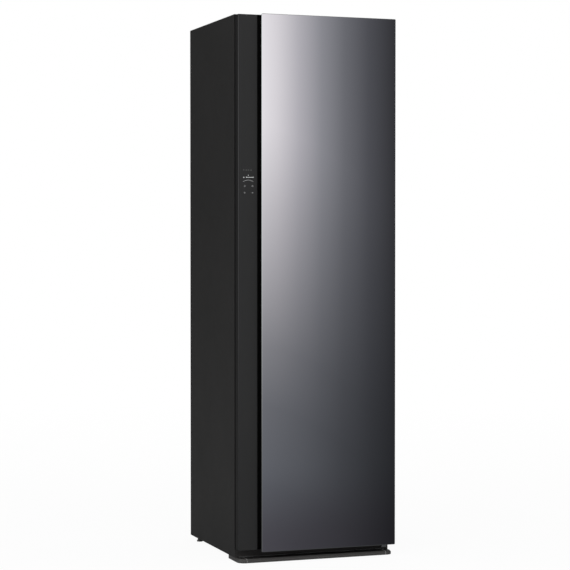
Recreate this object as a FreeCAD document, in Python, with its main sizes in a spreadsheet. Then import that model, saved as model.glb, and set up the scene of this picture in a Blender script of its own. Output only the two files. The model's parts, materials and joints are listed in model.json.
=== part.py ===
"""Clothes care steam cabinet, built as a parametric assembly.

A tall steel case stands on four levelling feet and holds a steam chamber over a machine room.
A mirror door hangs on its right-hand edge. All sizes are in millimetres.

Frame: the origin is at the floor, under the middle of the whole cabinet. +Z is up, the door
faces -Y, and +X is to the right of someone who stands in front of the door.
"""
import FreeCAD, Part
import math
import os
import re

import Sketcher

Vector = FreeCAD.Vector

# ------------------------------------------------------------------------------------------
# Driving dimensions. Each one becomes a named cell of the sheet.
# ------------------------------------------------------------------------------------------
SIZES = {
    # the case
    "case_width": 595, "case_height": 1960, "case_depth": 550, "foot_height": 14,
    "sheet_gauge": 1.2, "return_flange": 14, "bend_radius": 1, "lip_depth": 12,
    "fit_gap": 0.3, "running_gap": 0.05, "frame_gauge": 3, "frame_bottom": 130,
    # the back panel
    "louvre_width": 110, "louvre_height": 4, "louvre_pitch": 14, "louvre_count": 7,
    "louvre_bottom": 120, "louvre_column": 85, "bead_width": 24, "bead_spacing": 150,
    "bead_bottom": 560, "bead_top_gap": 100,
    # base, feet and foot cover
    "tray_gauge": 1.5, "tray_rim": 28, "foot_radius": 12, "foot_pad": 6, "foot_collar_radius": 9,
    "foot_front_side_inset": 37, "foot_front_inset": 45, "foot_back_side_inset": 12.5,
    "foot_back_inset": 82, "cover_reach": 53, "cover_top": 15, "cover_lift": 0.5,
    "cover_return": 72, "cover_return_width": 12, "cover_wall": 4, "cap_width": 30,
    "cover_round": 28, "cover_slope": 6,
    # the steam chamber
    "chamber_side_gap": 45, "chamber_bottom": 470, "chamber_headroom": 110,
    "chamber_back_gap": 60,
    "liner_wall": 2.5, "ledge_height": 10, "ledge_reach": 8, "ledge_level": 790,
    "ledge_front": 60, "ledge_back": 50, "liner_bead_width": 60, "liner_bead_rise": 2,
    "liner_bead_pitch": 92, "liner_bead_count": 5, "insulation_wall": 30,
    "light_length": 300, "light_width": 16, "light_height": 9, "light_setback": 30,
    # shelf, lint filter and fragrance cassette
    "shelf_height": 8, "shelf_slot": 16, "shelf_slot_pitch": 41, "shelf_slot_count": 11,
    "shelf_border": 22, "shelf_front": 36, "shelf_back": 14, "shelf_side_gap": 2.5,
    "filter_width": 180, "filter_length": 66, "filter_drop": 120, "filter_flange": 6,
    "filter_flange_height": 4, "filter_offset": 60, "filter_setback": 118, "filter_bar": 5,
    "filter_rib": 2, "filter_rib_pitch": 21.5,
    "cassette_width": 90, "cassette_length": 55, "cassette_drop": 22, "cassette_inset": 102.5,
    "cassette_setback": 24, "seat_side_gap": 1,
    # the door
    "door_gap": 10, "door_body": 34, "mirror_step": 26, "door_bottom": 46, "door_top_gap": 4,
    "door_skin": 1.5, "strip_width": 70.5, "strip_wall": 3, "strip_bevel": 1.2,
    "grip_width": 39, "grip_depth": 18, "grip_wall": 1.5,
    "glass_overhang": 30, "glass_thickness": 5, "glass_bevel": 1.5, "glass_bottom": 40,
    "glass_top_gap": 2, "carrier_wall": 3, "carrier_inset": 2, "carrier_cell_count": 6,
    "display_width": 50, "display_height": 130, "display_middle": 1360, "display_board": 4,
    "display_recess": 1.5,
    "door_liner_wall": 2, "door_liner_inset": 2, "plug_gap": 12, "plug_depth": 25,
    "tank_recess": 10.5, "gasket_gap": 4, "gasket_width": 12, "gasket_round": 2,
    # the door's hinge
    "hinge_inset": 18, "hinge_setback": 20, "pin_radius": 4, "pin_length": 14,
    "bush_wall": 3.5, "bracket_gauge": 2.5, "bracket_reach": 8, "bracket_width": 20,
    "bracket_drop": 50, "bracket_foot": 26,
    # the trouser press on the door's inner side
    "press_hinge_offset": 150, "press_width": 260, "press_top_gap": 200, "press_height": 750,
    "press_thickness": 10, "press_stand": 9, "press_pin_radius": 3, "press_lug_height": 10,
    "press_lug_half": 6, "press_tail": 5, "press_bevel": 3, "press_groove": 4,
    "press_groove_pitch": 100, "press_groove_count": 7,
    "latch_gap": 16, "latch_half_width": 5, "latch_length": 56, "latch_thickness": 4,
    "latch_pin_radius": 3, "latch_boss_radius": 8,
    # hanger rail and its drive
    "rail_length": 400, "rail_drop": 60, "rail_height": 22, "rail_thickness": 14,
    "rail_setback": 240, "notch_count": 5, "notch_pitch": 76, "notch_width": 12,
    "notch_depth": 9, "post_half": 6, "post_offset": 120, "hanger_travel": 20,
    "slot_gap": 2, "carriage_length": 300, "carriage_width": 76, "carriage_height": 16,
    "carriage_lift": 8, "rod_radius": 5, "rod_spacing": 52, "rod_length": 380,
    "rod_block": 14, "yoke_half_width": 5, "yoke_depth": 6, "yoke_slot_length": 52,
    "crank_throw": 20, "crank_pin_radius": 4, "crank_radius": 33, "motor_pulley_radius": 9,
    "pulley_height": 10, "belt_inset": 2.5, "belt_width": 5,
    "belt_thickness": 3, "pin_tip_gap": 0.5, "pin_drop": 6, "pulley_spacing": 82,
    "drive_plate_gauge": 2.5, "drive_plate_gap": 4, "crank_shaft_radius": 5,
    "crank_boss_radius": 10, "crank_boss_height": 12, "drive_motor_half": 26,
    "drive_motor_height": 42, "motor_shaft_radius": 3, "drive_leg": 10,
    "motor_bevel": 8,
    # tanks and their bay
    "tank_width": 226, "tank_height": 240, "tank_depth": 90, "tank_wall": 2.5,
    "tank_bottom": 160, "tank_setback": 12, "tank_round": 8, "bay_wall": 2.5, "bay_gap": 3,
    "bay_divider": 6, "tank_grip_width": 90, "tank_grip_height": 30, "tank_grip_depth": 20,
    "tank_grip_drop": 34, "tank_port_radius": 20, "tank_port_height": 1.5,
    # heat pump duct, exchangers and blower
    "duct_side_gap": 37.5, "duct_wall": 2.5, "duct_bottom": 296, "duct_length": 370,
    "exchanger_side_gap": 25, "exchanger_height": 150, "exchanger_depth": 66,
    "exchanger_rail": 5, "fin_gauge": 2, "fin_pitch": 40, "exchanger_gap": 14,
    "evaporator_setback": 86, "header_half": 8,
    "wheel_radius": 58, "wheel_width": 56, "wheel_gap": 5, "wheel_plate": 3,
    "blade_count": 11, "blade_gauge": 2, "blade_depth": 32, "blade_lean": 28,
    "hub_radius": 11, "blower_shaft_radius": 4, "scroll_wall": 2.5, "scroll_growth": 6,
    "blower_foot": 4, "blower_offset": 20, "blower_gap": 10, "blower_motor_half": 30,
    "blower_motor_length": 40, "inlet_radius": 44, "throat_width": 66, "cutoff_gap": 6,
    "grille_slat": 3, "grille_pitch": 11, "grille_height": 5,
    # compressor and steam parts
    "compressor_radius": 56, "compressor_height": 200, 
    "compressor_offset": 150, "accumulator_radius": 22,
    "accumulator_height": 120, "accumulator_lift": 70, "compressor_plate": 3,
    "compressor_plate_radius": 82, "rubber_height": 15, "rubber_half": 12,
    "pipe_radius": 4, "pipe_inset": 20, "pipe_hole_half": 5,
    "boiler_length": 140, "boiler_width": 100, "boiler_height": 120, "boiler_bevel": 12,
    "boiler_shift": 46, "boiler_foot": 16, "boiler_foot_height": 12,
    "hose_radius": 7, "nozzle_radius": 12, "nozzle_inset": 16.5,
    "nozzle_rise": 8, "nozzle_setback": 75,
    "pump_half": 22, "pump_height": 49, "pump_length": 60, "pump_offset": 60,
    "pump_front": 130, "pump_nipple": 5, "pump_nipple_length": 14, "pump_bevel": 10,
    "box_width": 150, "box_depth": 110, "box_height": 90, "box_wall": 2.5,
    "box_inset": 107.5, "box_front": 130,
    "gland_inset": 62.5, "gland_level": 75, "gland_radius": 10, "gland_bore_radius": 4,
    "gland_flange_radius": 14, "gland_flange": 1.2, "gland_length": 14,
}

DOC = FreeCAD.newDocument("steam_cabinet")
SHEET = DOC.addObject("Spreadsheet::Sheet", "Sizes")
for row, (size_name, size_value) in enumerate(SIZES.items(), start=1):
    SHEET.set(f"A{row}", size_name)
    SHEET.set(f"B{row}", str(size_value))
    SHEET.setAlias(f"B{row}", size_name)
DOC.recompute()

# Planes of the cabinet, from its back to the mirror's face.
BACK_Y = "((case_depth + door_gap + door_body + mirror_step) / 2)"
CASE_Y = f"({BACK_Y} - case_depth)"
DOOR_Y = f"({CASE_Y} - door_gap)"
STRIP_Y = f"({DOOR_Y} - door_body)"
MIRROR_Y = f"({STRIP_Y} - mirror_step)"
FRAME_Y = f"({CASE_Y} + sheet_gauge)"
LINER_Y = f"({FRAME_Y} + frame_gauge)"
CHAMBER_Y = f"({BACK_Y} - chamber_back_gap)"
SKIN_Y = f"({STRIP_Y} + strip_wall)"
GLASS_Y = f"({MIRROR_Y} + glass_thickness)"
# Planes across the cabinet.
SIDE_X = "(case_width / 2)"
INSIDE_X = f"({SIDE_X} - sheet_gauge - fit_gap)"
CHAMBER_X = f"({SIDE_X} - chamber_side_gap)"
STRIP_X = f"({SIDE_X} * -1 + strip_width)"
GRIP_X = f"({STRIP_X} + grip_width)"
GLASS_X = f"({GRIP_X} - glass_overhang)"
HINGE_X = f"({SIDE_X} - hinge_inset)"
HINGE_Y = f"({DOOR_Y} - hinge_setback)"
GLAND_X = f"(gland_inset - {SIDE_X})"
# Levels.
FLOOR_Z = "(foot_height + tray_gauge)"
CASE_TOP_Z = "(case_height - sheet_gauge)"
DOOR_TOP_Z = "(case_height - door_top_gap)"
GLASS_TOP_Z = "(case_height - glass_top_gap)"
CHAMBER_TOP_Z = "(case_height - chamber_headroom)"


def formula(text):
    """The text as an expression in which each size name is read from the sheet."""
    return re.sub(r"[a-z_]+", lambda word: "Sizes." * (word.group() in SIZES) + word.group(),
                  str(text))


def number(text):
    """The value of a formula, for a shape that is worked out in code."""
    return float(SHEET.evalExpression(formula(text)))


def bind(thing, **properties):
    """Binds each named property of an object to a formula. Two underscores stand for a dot."""
    for name, text in properties.items():
        thing.setExpression(name.replace("__", "."), formula(text))
    return thing


# ------------------------------------------------------------------------------------------
# Ways to make a piece
# ------------------------------------------------------------------------------------------
def rectangle(left, right, low, high):
    return [(left, low), (right, low), (right, high), (left, high)]


def hexagon(u, v, radius):
    return [(f"{u} + ({radius}) * cos({turn} deg)", f"{v} + ({radius}) * sin({turn} deg)")
            for turn in range(0, 360, 60)]


class Body:
    """A PartDesign body, made by sketched features on its own origin planes.

    A loop is a list of corner points, or (centre u, centre v, radius) for a circle. The XY
    plane takes (x, y) points, XZ takes (x, z) and YZ takes (y, z).
    """

    def __init__(self, name):
        self.body = DOC.addObject("PartDesign::Body", name)
        self.body.Label = name

    def origin(self, role):
        return next(item for item in self.body.Origin.OriginFeatures if item.Role == role)

    def sketch(self, plane, loops, level):
        sketch = self.body.newObject("Sketcher::SketchObject", "Sketch")
        sketch.AttachmentSupport = [(self.origin(plane + "_Plane"), "")]
        sketch.MapMode = "FlatFace"
        sign = "-1 * " if plane == "XZ" else ""
        bind(sketch, AttachmentOffset__Base__z=f"{sign}({level})")
        for loop in loops:
            if isinstance(loop, tuple):
                self.draw_circle(sketch, *loop)
            else:
                self.draw_polygon(sketch, loop)
        return sketch

    @staticmethod
    def pin_point(sketch, edge, end, u, v):
        """Holds one end of an edge at (u, v) from the sketch's origin."""
        for kind, text in (("DistanceX", u), ("DistanceY", v)):
            index = sketch.addConstraint(
                Sketcher.Constraint(kind, -1, 1, edge, end, number(text)))
            sketch.setExpression(f"Constraints[{index}]", formula(text))

    def draw_circle(self, sketch, u, v, radius):
        circle = Part.Circle(Vector(number(u), number(v), 0), Vector(0, 0, 1), number(radius))
        edge = sketch.addGeometry(circle, False)
        self.pin_point(sketch, edge, 3, u, v)
        index = sketch.addConstraint(Sketcher.Constraint("Radius", edge, number(radius)))
        sketch.setExpression(f"Constraints[{index}]", formula(radius))

    def draw_polygon(self, sketch, points):
        corners = [Vector(number(u), number(v), 0) for u, v in points]
        first = sketch.GeometryCount
        for here, there in zip(corners, corners[1:] + corners[:1]):
            sketch.addGeometry(Part.LineSegment(here, there), False)
        for step, (u, v) in enumerate(points):
            after = first + (step + 1) % len(points)
            sketch.addConstraint(Sketcher.Constraint("Coincident", first + step, 2, after, 1))
            self.pin_point(sketch, first + step, 1, u, v)

    def add_feature(self, kind, plane, loops, level, low, high):
        sketch = self.sketch(plane, loops, level)
        feature = self.body.newObject("PartDesign::" + kind, kind)
        feature.Profile = sketch
        bind(feature, Length=f"({high}) - ({low})")
        DOC.recompute()
        return feature

    def pad(self, plane, loops, low, high):
        """Adds material between two levels, along the plane's normal."""
        level = high if plane == "XZ" else low
        return self.add_feature("Pad", plane, loops, level, low, high)

    def pocket(self, plane, loops, low, high):
        """Cuts material away between two levels."""
        level = low if plane == "XZ" else high
        before = self.body.Shape.Volume
        feature = self.add_feature("Pocket", plane, loops, level, low, high)
        if not self.body.Shape.Volume < before:
            raise RuntimeError(f"{self.body.Label}: a pocket cuts nothing")
        return feature

    def revolve(self, loops):
        """Turns (radius, height) loops round the body's own Z axis."""
        sketch = self.sketch("XZ", loops, "0")
        feature = self.body.newObject("PartDesign::Revolution", "Revolution")
        feature.Profile = sketch
        feature.ReferenceAxis = (self.origin("Z_Axis"), [""])
        feature.Angle = 360
        DOC.recompute()
        return feature

    def row(self, feature, axis, pitch, count):
        """Repeats a feature along one of the body's axes."""
        pattern = self.body.newObject("PartDesign::LinearPattern", "Row")
        pattern.Originals = [feature]
        pattern.Direction = (self.origin(axis + "_Axis"), [""])
        pattern.Mode = "Spacing"
        bind(pattern, Offset=pitch, Occurrences=count)
        self.body.Tip = pattern
        DOC.recompute()
        return pattern

    def dress(self, kind, size, pick):
        """Rounds or bevels the edges that the pick function accepts."""
        base = self.body.Tip
        names = [f"Edge{place}" for place, edge in enumerate(base.Shape.Edges, start=1)
                 if pick(edge)]
        if not names:
            raise RuntimeError(f"{self.body.Label}: no edge to dress")
        feature = self.body.newObject("PartDesign::" + kind, kind)
        feature.Base = (base, names)
        bind(feature, **{"Radius" if kind == "Fillet" else "Size": size})
        DOC.recompute()
        return feature

    def place(self, x="0", y="0", z="0", turn=None):
        """Moves the whole body, and turns it about (axis, degrees) first."""
        if turn:
            self.body.Placement = FreeCAD.Placement(Vector(), FreeCAD.Rotation(*turn))
        bind(self.body, Placement__Base__x=x, Placement__Base__y=y, Placement__Base__z=z)
        return self

    def done(self):
        return keep(self.body.Label, self.body)


TURN_TO_X = (Vector(0, 1, 0), 90)
TURN_TO_Y = (Vector(1, 0, 0), -90)
NODES = {}


def keep(name, thing):
    """Names an object as one sub-part of the cabinet."""
    thing.Label = name
    NODES[name] = thing
    return thing


def box(x, y, z):
    """A block between two faces on each axis."""
    block = DOC.addObject("Part::Box", "Block")
    return bind(block,
                Length=f"({x[1]}) - ({x[0]})", Placement__Base__x=x[0],
                Width=f"({y[1]}) - ({y[0]})", Placement__Base__y=y[0],
                Height=f"({z[1]}) - ({z[0]})", Placement__Base__z=z[0])


def rod(x, y, z, radius):
    """A cylinder along the one axis that is given as a pair of ends."""
    cylinder = DOC.addObject("Part::Cylinder", "Rod")
    places = {"x": x, "y": y, "z": z}
    along = next(axis for axis, place in places.items() if isinstance(place, tuple))
    if along != "z":
        turn = TURN_TO_X if along == "x" else TURN_TO_Y
        cylinder.Placement = FreeCAD.Placement(Vector(), FreeCAD.Rotation(*turn))
    low, high = places[along]
    places[along] = low
    return bind(cylinder, Radius=radius, Height=f"({high}) - ({low})",
                Placement__Base__x=places["x"], Placement__Base__y=places["y"],
                Placement__Base__z=places["z"])


def fuse(*pieces):
    union = DOC.addObject("Part::MultiFuse", "Fused")
    union.Shapes = list(pieces)
    union.Refine = True
    DOC.recompute()
    return union


def cut(base, *tools):
    tool = tools[0] if len(tools) == 1 else fuse(*tools)
    result = DOC.addObject("Part::Cut", "Cut")
    result.Base, result.Tool = base, tool
    result.Refine = True
    DOC.recompute()
    return result


def group(*pieces):
    """Separate solids that make one sub-part."""
    together = DOC.addObject("Part::Compound", "Group")
    together.Links = list(pieces)
    DOC.recompute()
    return together


def solid(shape):
    """A shape that is worked out in code, as an object of the document."""
    feature = DOC.addObject("Part::Feature", "Solid")
    feature.Shape = shape
    return feature


def upright(edge):
    """Picks an edge that runs straight along Z."""
    spread = edge.BoundBox
    return spread.XLength < 1e-6 and spread.YLength < 1e-6 and spread.ZLength > 1e-6


def at(edge, axis, text):
    """Tells whether an edge lies wholly at one level of an axis."""
    spread = edge.BoundBox
    low, high = getattr(spread, axis + "Min"), getattr(spread, axis + "Max")
    return abs(low - number(text)) < 1e-4 and abs(high - number(text)) < 1e-4


# ------------------------------------------------------------------------------------------
# The case
# ------------------------------------------------------------------------------------------
FOOT_PLACES = [(f"{side} * ({SIDE_X} - {inset})", y) for side in (-1, 1) for inset, y in (
    ("foot_front_side_inset", f"{CASE_Y} + foot_front_inset"),
    ("foot_back_side_inset", f"{BACK_Y} - foot_back_inset"))]


def side_panel(name, side):
    """Sheet steel, folded inwards to a narrow flange at the front and at the back."""
    outer, inner = f"{side} * {SIDE_X}", f"{side} * ({SIDE_X} - sheet_gauge)"
    lip = f"{side} * ({SIDE_X} - return_flange)"
    back_fold = f"{BACK_Y} - sheet_gauge"
    panel = Body(name)
    panel.pad("XY", [[(outer, CASE_Y), (lip, CASE_Y), (lip, FRAME_Y), (inner, FRAME_Y),
                      (inner, back_fold), (lip, back_fold), (lip, BACK_Y), (outer, BACK_Y)]],
              "foot_height", CASE_TOP_Z)
    panel.dress("Fillet", "bend_radius", lambda edge: upright(edge) and at(edge, "X", outer))
    panel.done()


def top_cover():
    """Flat sheet over the whole case, with a lip inside each side panel."""
    cover = Body("top_cover")
    cover.pad("XY", [rectangle(f"-{SIDE_X}", SIDE_X, CASE_Y, BACK_Y)], CASE_TOP_Z, "case_height")
    cover.dress("Fillet", "sheet_gauge / 2", lambda edge: at(edge, "Z", "case_height"))
    lips = [rectangle(f"{side} * {INSIDE_X}", f"{side} * ({INSIDE_X} - sheet_gauge)",
                      f"{CASE_Y} + return_flange", f"{BACK_Y} - return_flange")
            for side in (-1, 1)]
    cover.pad("XY", lips, f"{CASE_TOP_Z} - lip_depth", CASE_TOP_Z)
    cover.done()


def back_panel():
    """Sheet steel with three pressed beads, rows of cooling louvres and the gland's hole."""
    outer_y, inner_y = f"{BACK_Y} - sheet_gauge", f"{BACK_Y} - 2 * sheet_gauge"
    panel = Body("back_panel")
    panel.pad("XZ", [rectangle(f"-{INSIDE_X}", INSIDE_X, FLOOR_Z, f"{CASE_TOP_Z} - fit_gap")],
              inner_y, outer_y)
    beads = [rectangle(f"{column} * bead_spacing - bead_width / 2",
                       f"{column} * bead_spacing + bead_width / 2",
                       "bead_bottom", "case_height - bead_top_gap")
             for column in (-1, 0, 1)]
    panel.pad("XZ", beads, outer_y, BACK_Y)
    slots = [rectangle(f"{column} * louvre_column - louvre_width / 2",
                       f"{column} * louvre_column + louvre_width / 2",
                       "louvre_bottom", "louvre_bottom + louvre_height")
             for column in (-1, 1)]
    slot_row = panel.pocket("XZ", slots, inner_y, outer_y)
    panel.row(slot_row, "Z", "louvre_pitch", "louvre_count")
    panel.pocket("XZ", [hexagon(GLAND_X, "gland_level", "gland_radius")], inner_y, outer_y)
    panel.done()


def base_tray():
    """Steel pan that closes the bottom and carries the feet and the machinery."""
    front, back = LINER_Y, f"{BACK_Y} - 2 * sheet_gauge - fit_gap"
    tray = Body("base_tray")
    tray.pad("XY", [rectangle(f"-{INSIDE_X}", INSIDE_X, FRAME_Y, f"{BACK_Y} - sheet_gauge")],
             "foot_height", FLOOR_Z)
    rim = rectangle(f"-{INSIDE_X}", INSIDE_X, front, back)
    inner = rectangle(f"-({INSIDE_X} - tray_gauge)", f"{INSIDE_X} - tray_gauge",
                      f"{front} + tray_gauge", f"{back} - tray_gauge")
    tray.pad("XY", [rim, inner], FLOOR_Z, f"{FLOOR_Z} + tray_rim")
    tray.done()


def front_frame():
    """Plate round the mouths of the steam chamber and of the tank bay, where the door seals."""
    frame = Body("front_frame")
    outline = rectangle(f"-{INSIDE_X}", INSIDE_X, "frame_bottom", f"{CASE_TOP_Z} - fit_gap")
    chamber = rectangle(f"-{CHAMBER_X}", CHAMBER_X, "chamber_bottom", CHAMBER_TOP_Z)
    bay = rectangle(f"-{BAY_X}", BAY_X, BAY_BOTTOM_Z, BAY_TOP_Z)
    frame.pad("XZ", [outline, chamber, bay], FRAME_Y, LINER_Y)
    frame.done()


def kick_plate():
    """Plain plate that closes the case below the tank bay, behind the door's lower edge."""
    keep("kick_plate", box((f"-{INSIDE_X}", INSIDE_X), (FRAME_Y, LINER_Y),
                           (FLOOR_Z, "frame_bottom")))


def foot_covers():
    """Front bar and two corner caps that hide the front feet."""
    front, bar_x = f"{CASE_Y} - cover_reach", f"{SIDE_X} - cap_width"
    bar = Body("foot_cover_bar")
    bar.pad("XY", [rectangle(f"-({bar_x})", bar_x, front, CASE_Y)], "cover_lift", "cover_top")
    bar.dress("Chamfer", "cover_slope", lambda edge: at(edge, "Y", front)
              and at(edge, "Z", "cover_top"))
    bar.pocket("XY", [rectangle(f"-({bar_x} - cover_wall)", f"{bar_x} - cover_wall",
                                f"{front} + cover_wall", f"{CASE_Y} - cover_wall")],
               "cover_lift", "cover_top - cover_slope")
    bar.done()
    caps = []
    for side in (-1, 1):
        outer, inner = f"{side} * {SIDE_X}", f"{side} * ({bar_x})"
        cap = Body("foot_cover_cap")
        cap.pad("XY", [rectangle(inner, outer, front, CASE_Y)], "cover_lift", "cover_top")
        cap.dress("Fillet", "cover_round", lambda edge: upright(edge) and at(edge, "Y", front)
                  and at(edge, "X", outer))
        cap.dress("Chamfer", "cover_slope", lambda edge: at(edge, "Y", front)
                  and at(edge, "Z", "cover_top"))
        cap.pad("XY", [rectangle(outer, f"{side} * ({SIDE_X} - cover_return_width)",
                                 CASE_Y, f"{CASE_Y} + cover_return")],
                "cover_lift", "foot_height")
        caps.append(cap.body)
    keep("foot_cover_caps", group(*caps))


def levelling_feet():
    """Hexagon pads under the narrower necks that raise and lower them."""
    feet = []
    for x, y in FOOT_PLACES:
        foot = Body("levelling_foot")
        foot.pad("XY", [hexagon(x, y, "foot_radius")], "0", "foot_pad")
        foot.pad("XY", [hexagon(x, y, "foot_collar_radius")], "foot_pad", "foot_height")
        feet.append(foot.body)
    keep("levelling_feet", group(*feet))


def cord_gland():
    """Hexagon bush with a wider head in the back panel, through which a supply cord would pass."""
    gland = Body("cord_gland")
    inside = "(sheet_gauge + gland_length)"
    bore = ("0", "0", "gland_bore_radius")
    gland.pad("XY", [hexagon("0", "0", "gland_radius - fit_gap"), bore], "0", inside)
    gland.pad("XY", [hexagon("0", "0", "gland_flange_radius"), bore], inside,
              f"{inside} + gland_flange")
    gland.place(GLAND_X, f"{BACK_Y} - sheet_gauge - {inside}", "gland_level", TURN_TO_Y)
    gland.done()


# ------------------------------------------------------------------------------------------
# The steam chamber
# ------------------------------------------------------------------------------------------
LINER_X = f"({CHAMBER_X} + liner_wall)"
LINER_BACK_Y = f"({CHAMBER_Y} + liner_wall)"
CEILING_Z = f"({CHAMBER_TOP_Z} + liner_wall)"
FLOOR_PLATE_Z = "(chamber_bottom - liner_wall)"
CASSETTE_X = f"({CHAMBER_X} - cassette_inset)"


def chamber_side(name, side):
    """Moulded side wall with a ledge for the shelf."""
    inner, outer = f"{side} * {CHAMBER_X}", f"{side} * {LINER_X}"
    wall = Body(name)
    wall.pad("XY", [rectangle(inner, outer, LINER_Y, LINER_BACK_Y)],
             "chamber_bottom", CHAMBER_TOP_Z)
    ledge = [rectangle(inner, f"{side} * ({CHAMBER_X} - ledge_reach)",
                       f"{LINER_Y} + ledge_front", f"{CHAMBER_Y} - ledge_back")]
    wall.pad("XY", ledge, "ledge_level - ledge_height", "ledge_level")
    wall.done()


def chamber_back():
    """Moulded back wall with upright flutes that stiffen it."""
    wall = Body("liner_back")
    wall.pad("XZ", [rectangle(f"-{CHAMBER_X}", CHAMBER_X, "chamber_bottom", CHAMBER_TOP_Z)],
             CHAMBER_Y, LINER_BACK_Y)
    first = "-1 * liner_bead_pitch * (liner_bead_count - 1) / 2"
    flute = wall.pad("XZ", [rectangle(f"{first} - liner_bead_width / 2",
                                      f"{first} + liner_bead_width / 2",
                                      "ledge_level + liner_bead_pitch",
                                      f"{CHAMBER_TOP_Z} - liner_bead_pitch")],
                     f"{CHAMBER_Y} - liner_bead_rise", CHAMBER_Y)
    wall.row(flute, "X", "liner_bead_pitch", "liner_bead_count")
    wall.done()


def chamber_ceiling():
    """Flat ceiling with two slots in which the hanger's posts slide."""
    ceiling = Body("chamber_ceiling")
    ceiling.pad("XY", [rectangle(f"-{LINER_X}", LINER_X, LINER_Y, LINER_BACK_Y)],
                CHAMBER_TOP_Z, CEILING_Z)
    half_length = "(hanger_travel + post_half + slot_gap)"
    half_width = "(post_half + slot_gap)"
    slots = [rectangle(f"{side} * post_offset - {half_length}",
                       f"{side} * post_offset + {half_length}",
                       f"{RAIL_Y} - {half_width}", f"{RAIL_Y} + {half_width}")
             for side in (-1, 1)]
    ceiling.pocket("XY", slots, CHAMBER_TOP_Z, CEILING_Z)
    ceiling.done()


def filter_mouth(gap):
    """The lint filter's rectangle in plan, widened by a gap."""
    front = f"{LINER_Y} + filter_setback"
    return rectangle(f"-filter_offset - filter_width / 2 - {gap}",
                     f"-filter_offset + filter_width / 2 + {gap}",
                     f"{front} - {gap}", f"{front} + filter_length + {gap}")


def cassette_mouth(gap):
    """The fragrance cassette's rectangle in plan, widened by a gap."""
    front = f"{LINER_Y} + cassette_setback"
    return rectangle(f"{CASSETTE_X} - cassette_width / 2 - {gap}",
                     f"{CASSETTE_X} + cassette_width / 2 + {gap}",
                     f"{front} - {gap}", f"{front} + cassette_length + {gap}")


def chamber_floor():
    """Flat floor with mouths for the filter and the cassette, the air outlet and the steam."""
    floor = Body("chamber_floor")
    floor.pad("XY", [rectangle(f"-{LINER_X}", LINER_X, LINER_Y, LINER_BACK_Y)],
              FLOOR_PLATE_Z, "chamber_bottom")
    outlet = rectangle(THROAT_LEFT_X, THROAT_RIGHT_X, BLOWER_FRONT_Y, BLOWER_BACK_Y)
    floor.pocket("XY", [filter_mouth("seat_side_gap"), cassette_mouth("seat_side_gap"), outlet,
                        (NOZZLE_X, NOZZLE_Y, "hose_radius")],
                 FLOOR_PLATE_Z, "chamber_bottom")
    floor.done()


def insulation():
    """Foam boards against the outer faces of the chamber's side and back walls."""
    boards = [box((f"{side} * {LINER_X}", f"{side} * ({LINER_X} + insulation_wall)")
                  if side > 0 else
                  (f"-({LINER_X} + insulation_wall)", f"-{LINER_X}"),
                  (LINER_Y, LINER_BACK_Y), ("chamber_bottom", CHAMBER_TOP_Z))
              for side in (-1, 1)]
    boards.append(box((f"-{LINER_X}", LINER_X), (LINER_BACK_Y, f"{LINER_BACK_Y} + insulation_wall"),
                      ("chamber_bottom", CHAMBER_TOP_Z)))
    keep("insulation", group(*boards))


def chamber_light():
    """Light bar with sloping sides, under the ceiling behind the door."""
    low, front = f"({CHAMBER_TOP_Z} - light_height)", f"({LINER_Y} + light_setback)"
    light = Body("chamber_light")
    light.pad("YZ", [[(front, CHAMBER_TOP_Z), (f"{front} + light_height / 2", low),
                      (f"{front} + light_width", low),
                      (f"{front} + light_width + light_height / 2", CHAMBER_TOP_Z)]],
              "-1 * light_length / 2", "light_length / 2")
    light.done()


def steam_nozzle():
    """Hexagon cap with an opening in line with the steam hose."""
    nozzle = Body("steam_nozzle")
    nozzle.pad("XY", [hexagon(NOZZLE_X, NOZZLE_Y, "nozzle_radius"),
                      hexagon(NOZZLE_X, NOZZLE_Y, "hose_radius / 2")],
               "chamber_bottom", "chamber_bottom + nozzle_rise")
    nozzle.done()


def outlet_grille():
    """Slatted grille that stands on the floor over the blower's mouth."""
    grille = Body("outlet_grille")
    rim = "(2 * grille_slat)"
    top = "chamber_bottom + grille_height"
    grille.pad("XY", [rectangle(f"{THROAT_LEFT_X} - {rim}", f"{THROAT_RIGHT_X} + {rim}",
                                f"{BLOWER_FRONT_Y} - {rim}", f"{BLOWER_BACK_Y} + {rim}")],
               "chamber_bottom", top)
    gap = grille.pocket("XY", [rectangle(f"{THROAT_LEFT_X}", f"{THROAT_LEFT_X} + grille_pitch - "
                                         "grille_slat", BLOWER_FRONT_Y, BLOWER_BACK_Y)],
                        "chamber_bottom", top)
    grille.row(gap, "X", "grille_pitch", "floor(throat_width / grille_pitch)")
    grille.done()


# ------------------------------------------------------------------------------------------
# Hanger rail and its drive, above the ceiling
# ------------------------------------------------------------------------------------------
RAIL_Y = f"({LINER_Y} + rail_setback)"
RAIL_Z = f"({CHAMBER_TOP_Z} - rail_drop)"
RAIL_TOP_Z = f"({RAIL_Z} + rail_height)"
CARRIAGE_Z = f"({CEILING_Z} + carriage_lift)"
CARRIAGE_TOP_Z = f"({CARRIAGE_Z} + carriage_height)"
ROD_Z = f"({CARRIAGE_Z} + carriage_height / 2)"
PULLEY_Z = f"({CARRIAGE_TOP_Z} + pin_tip_gap + pin_drop)"
PULLEY_TOP_Z = f"({PULLEY_Z} + pulley_height)"
PLATE_Z = f"({PULLEY_TOP_Z} + drive_plate_gap)"
PLATE_TOP_Z = f"({PLATE_Z} + drive_plate_gauge)"
MOTOR_Y = f"({RAIL_Y} + pulley_spacing)"
ROD_YS = [f"({RAIL_Y} + {side} * rod_spacing / 2)" for side in (-1, 1)]


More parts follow.
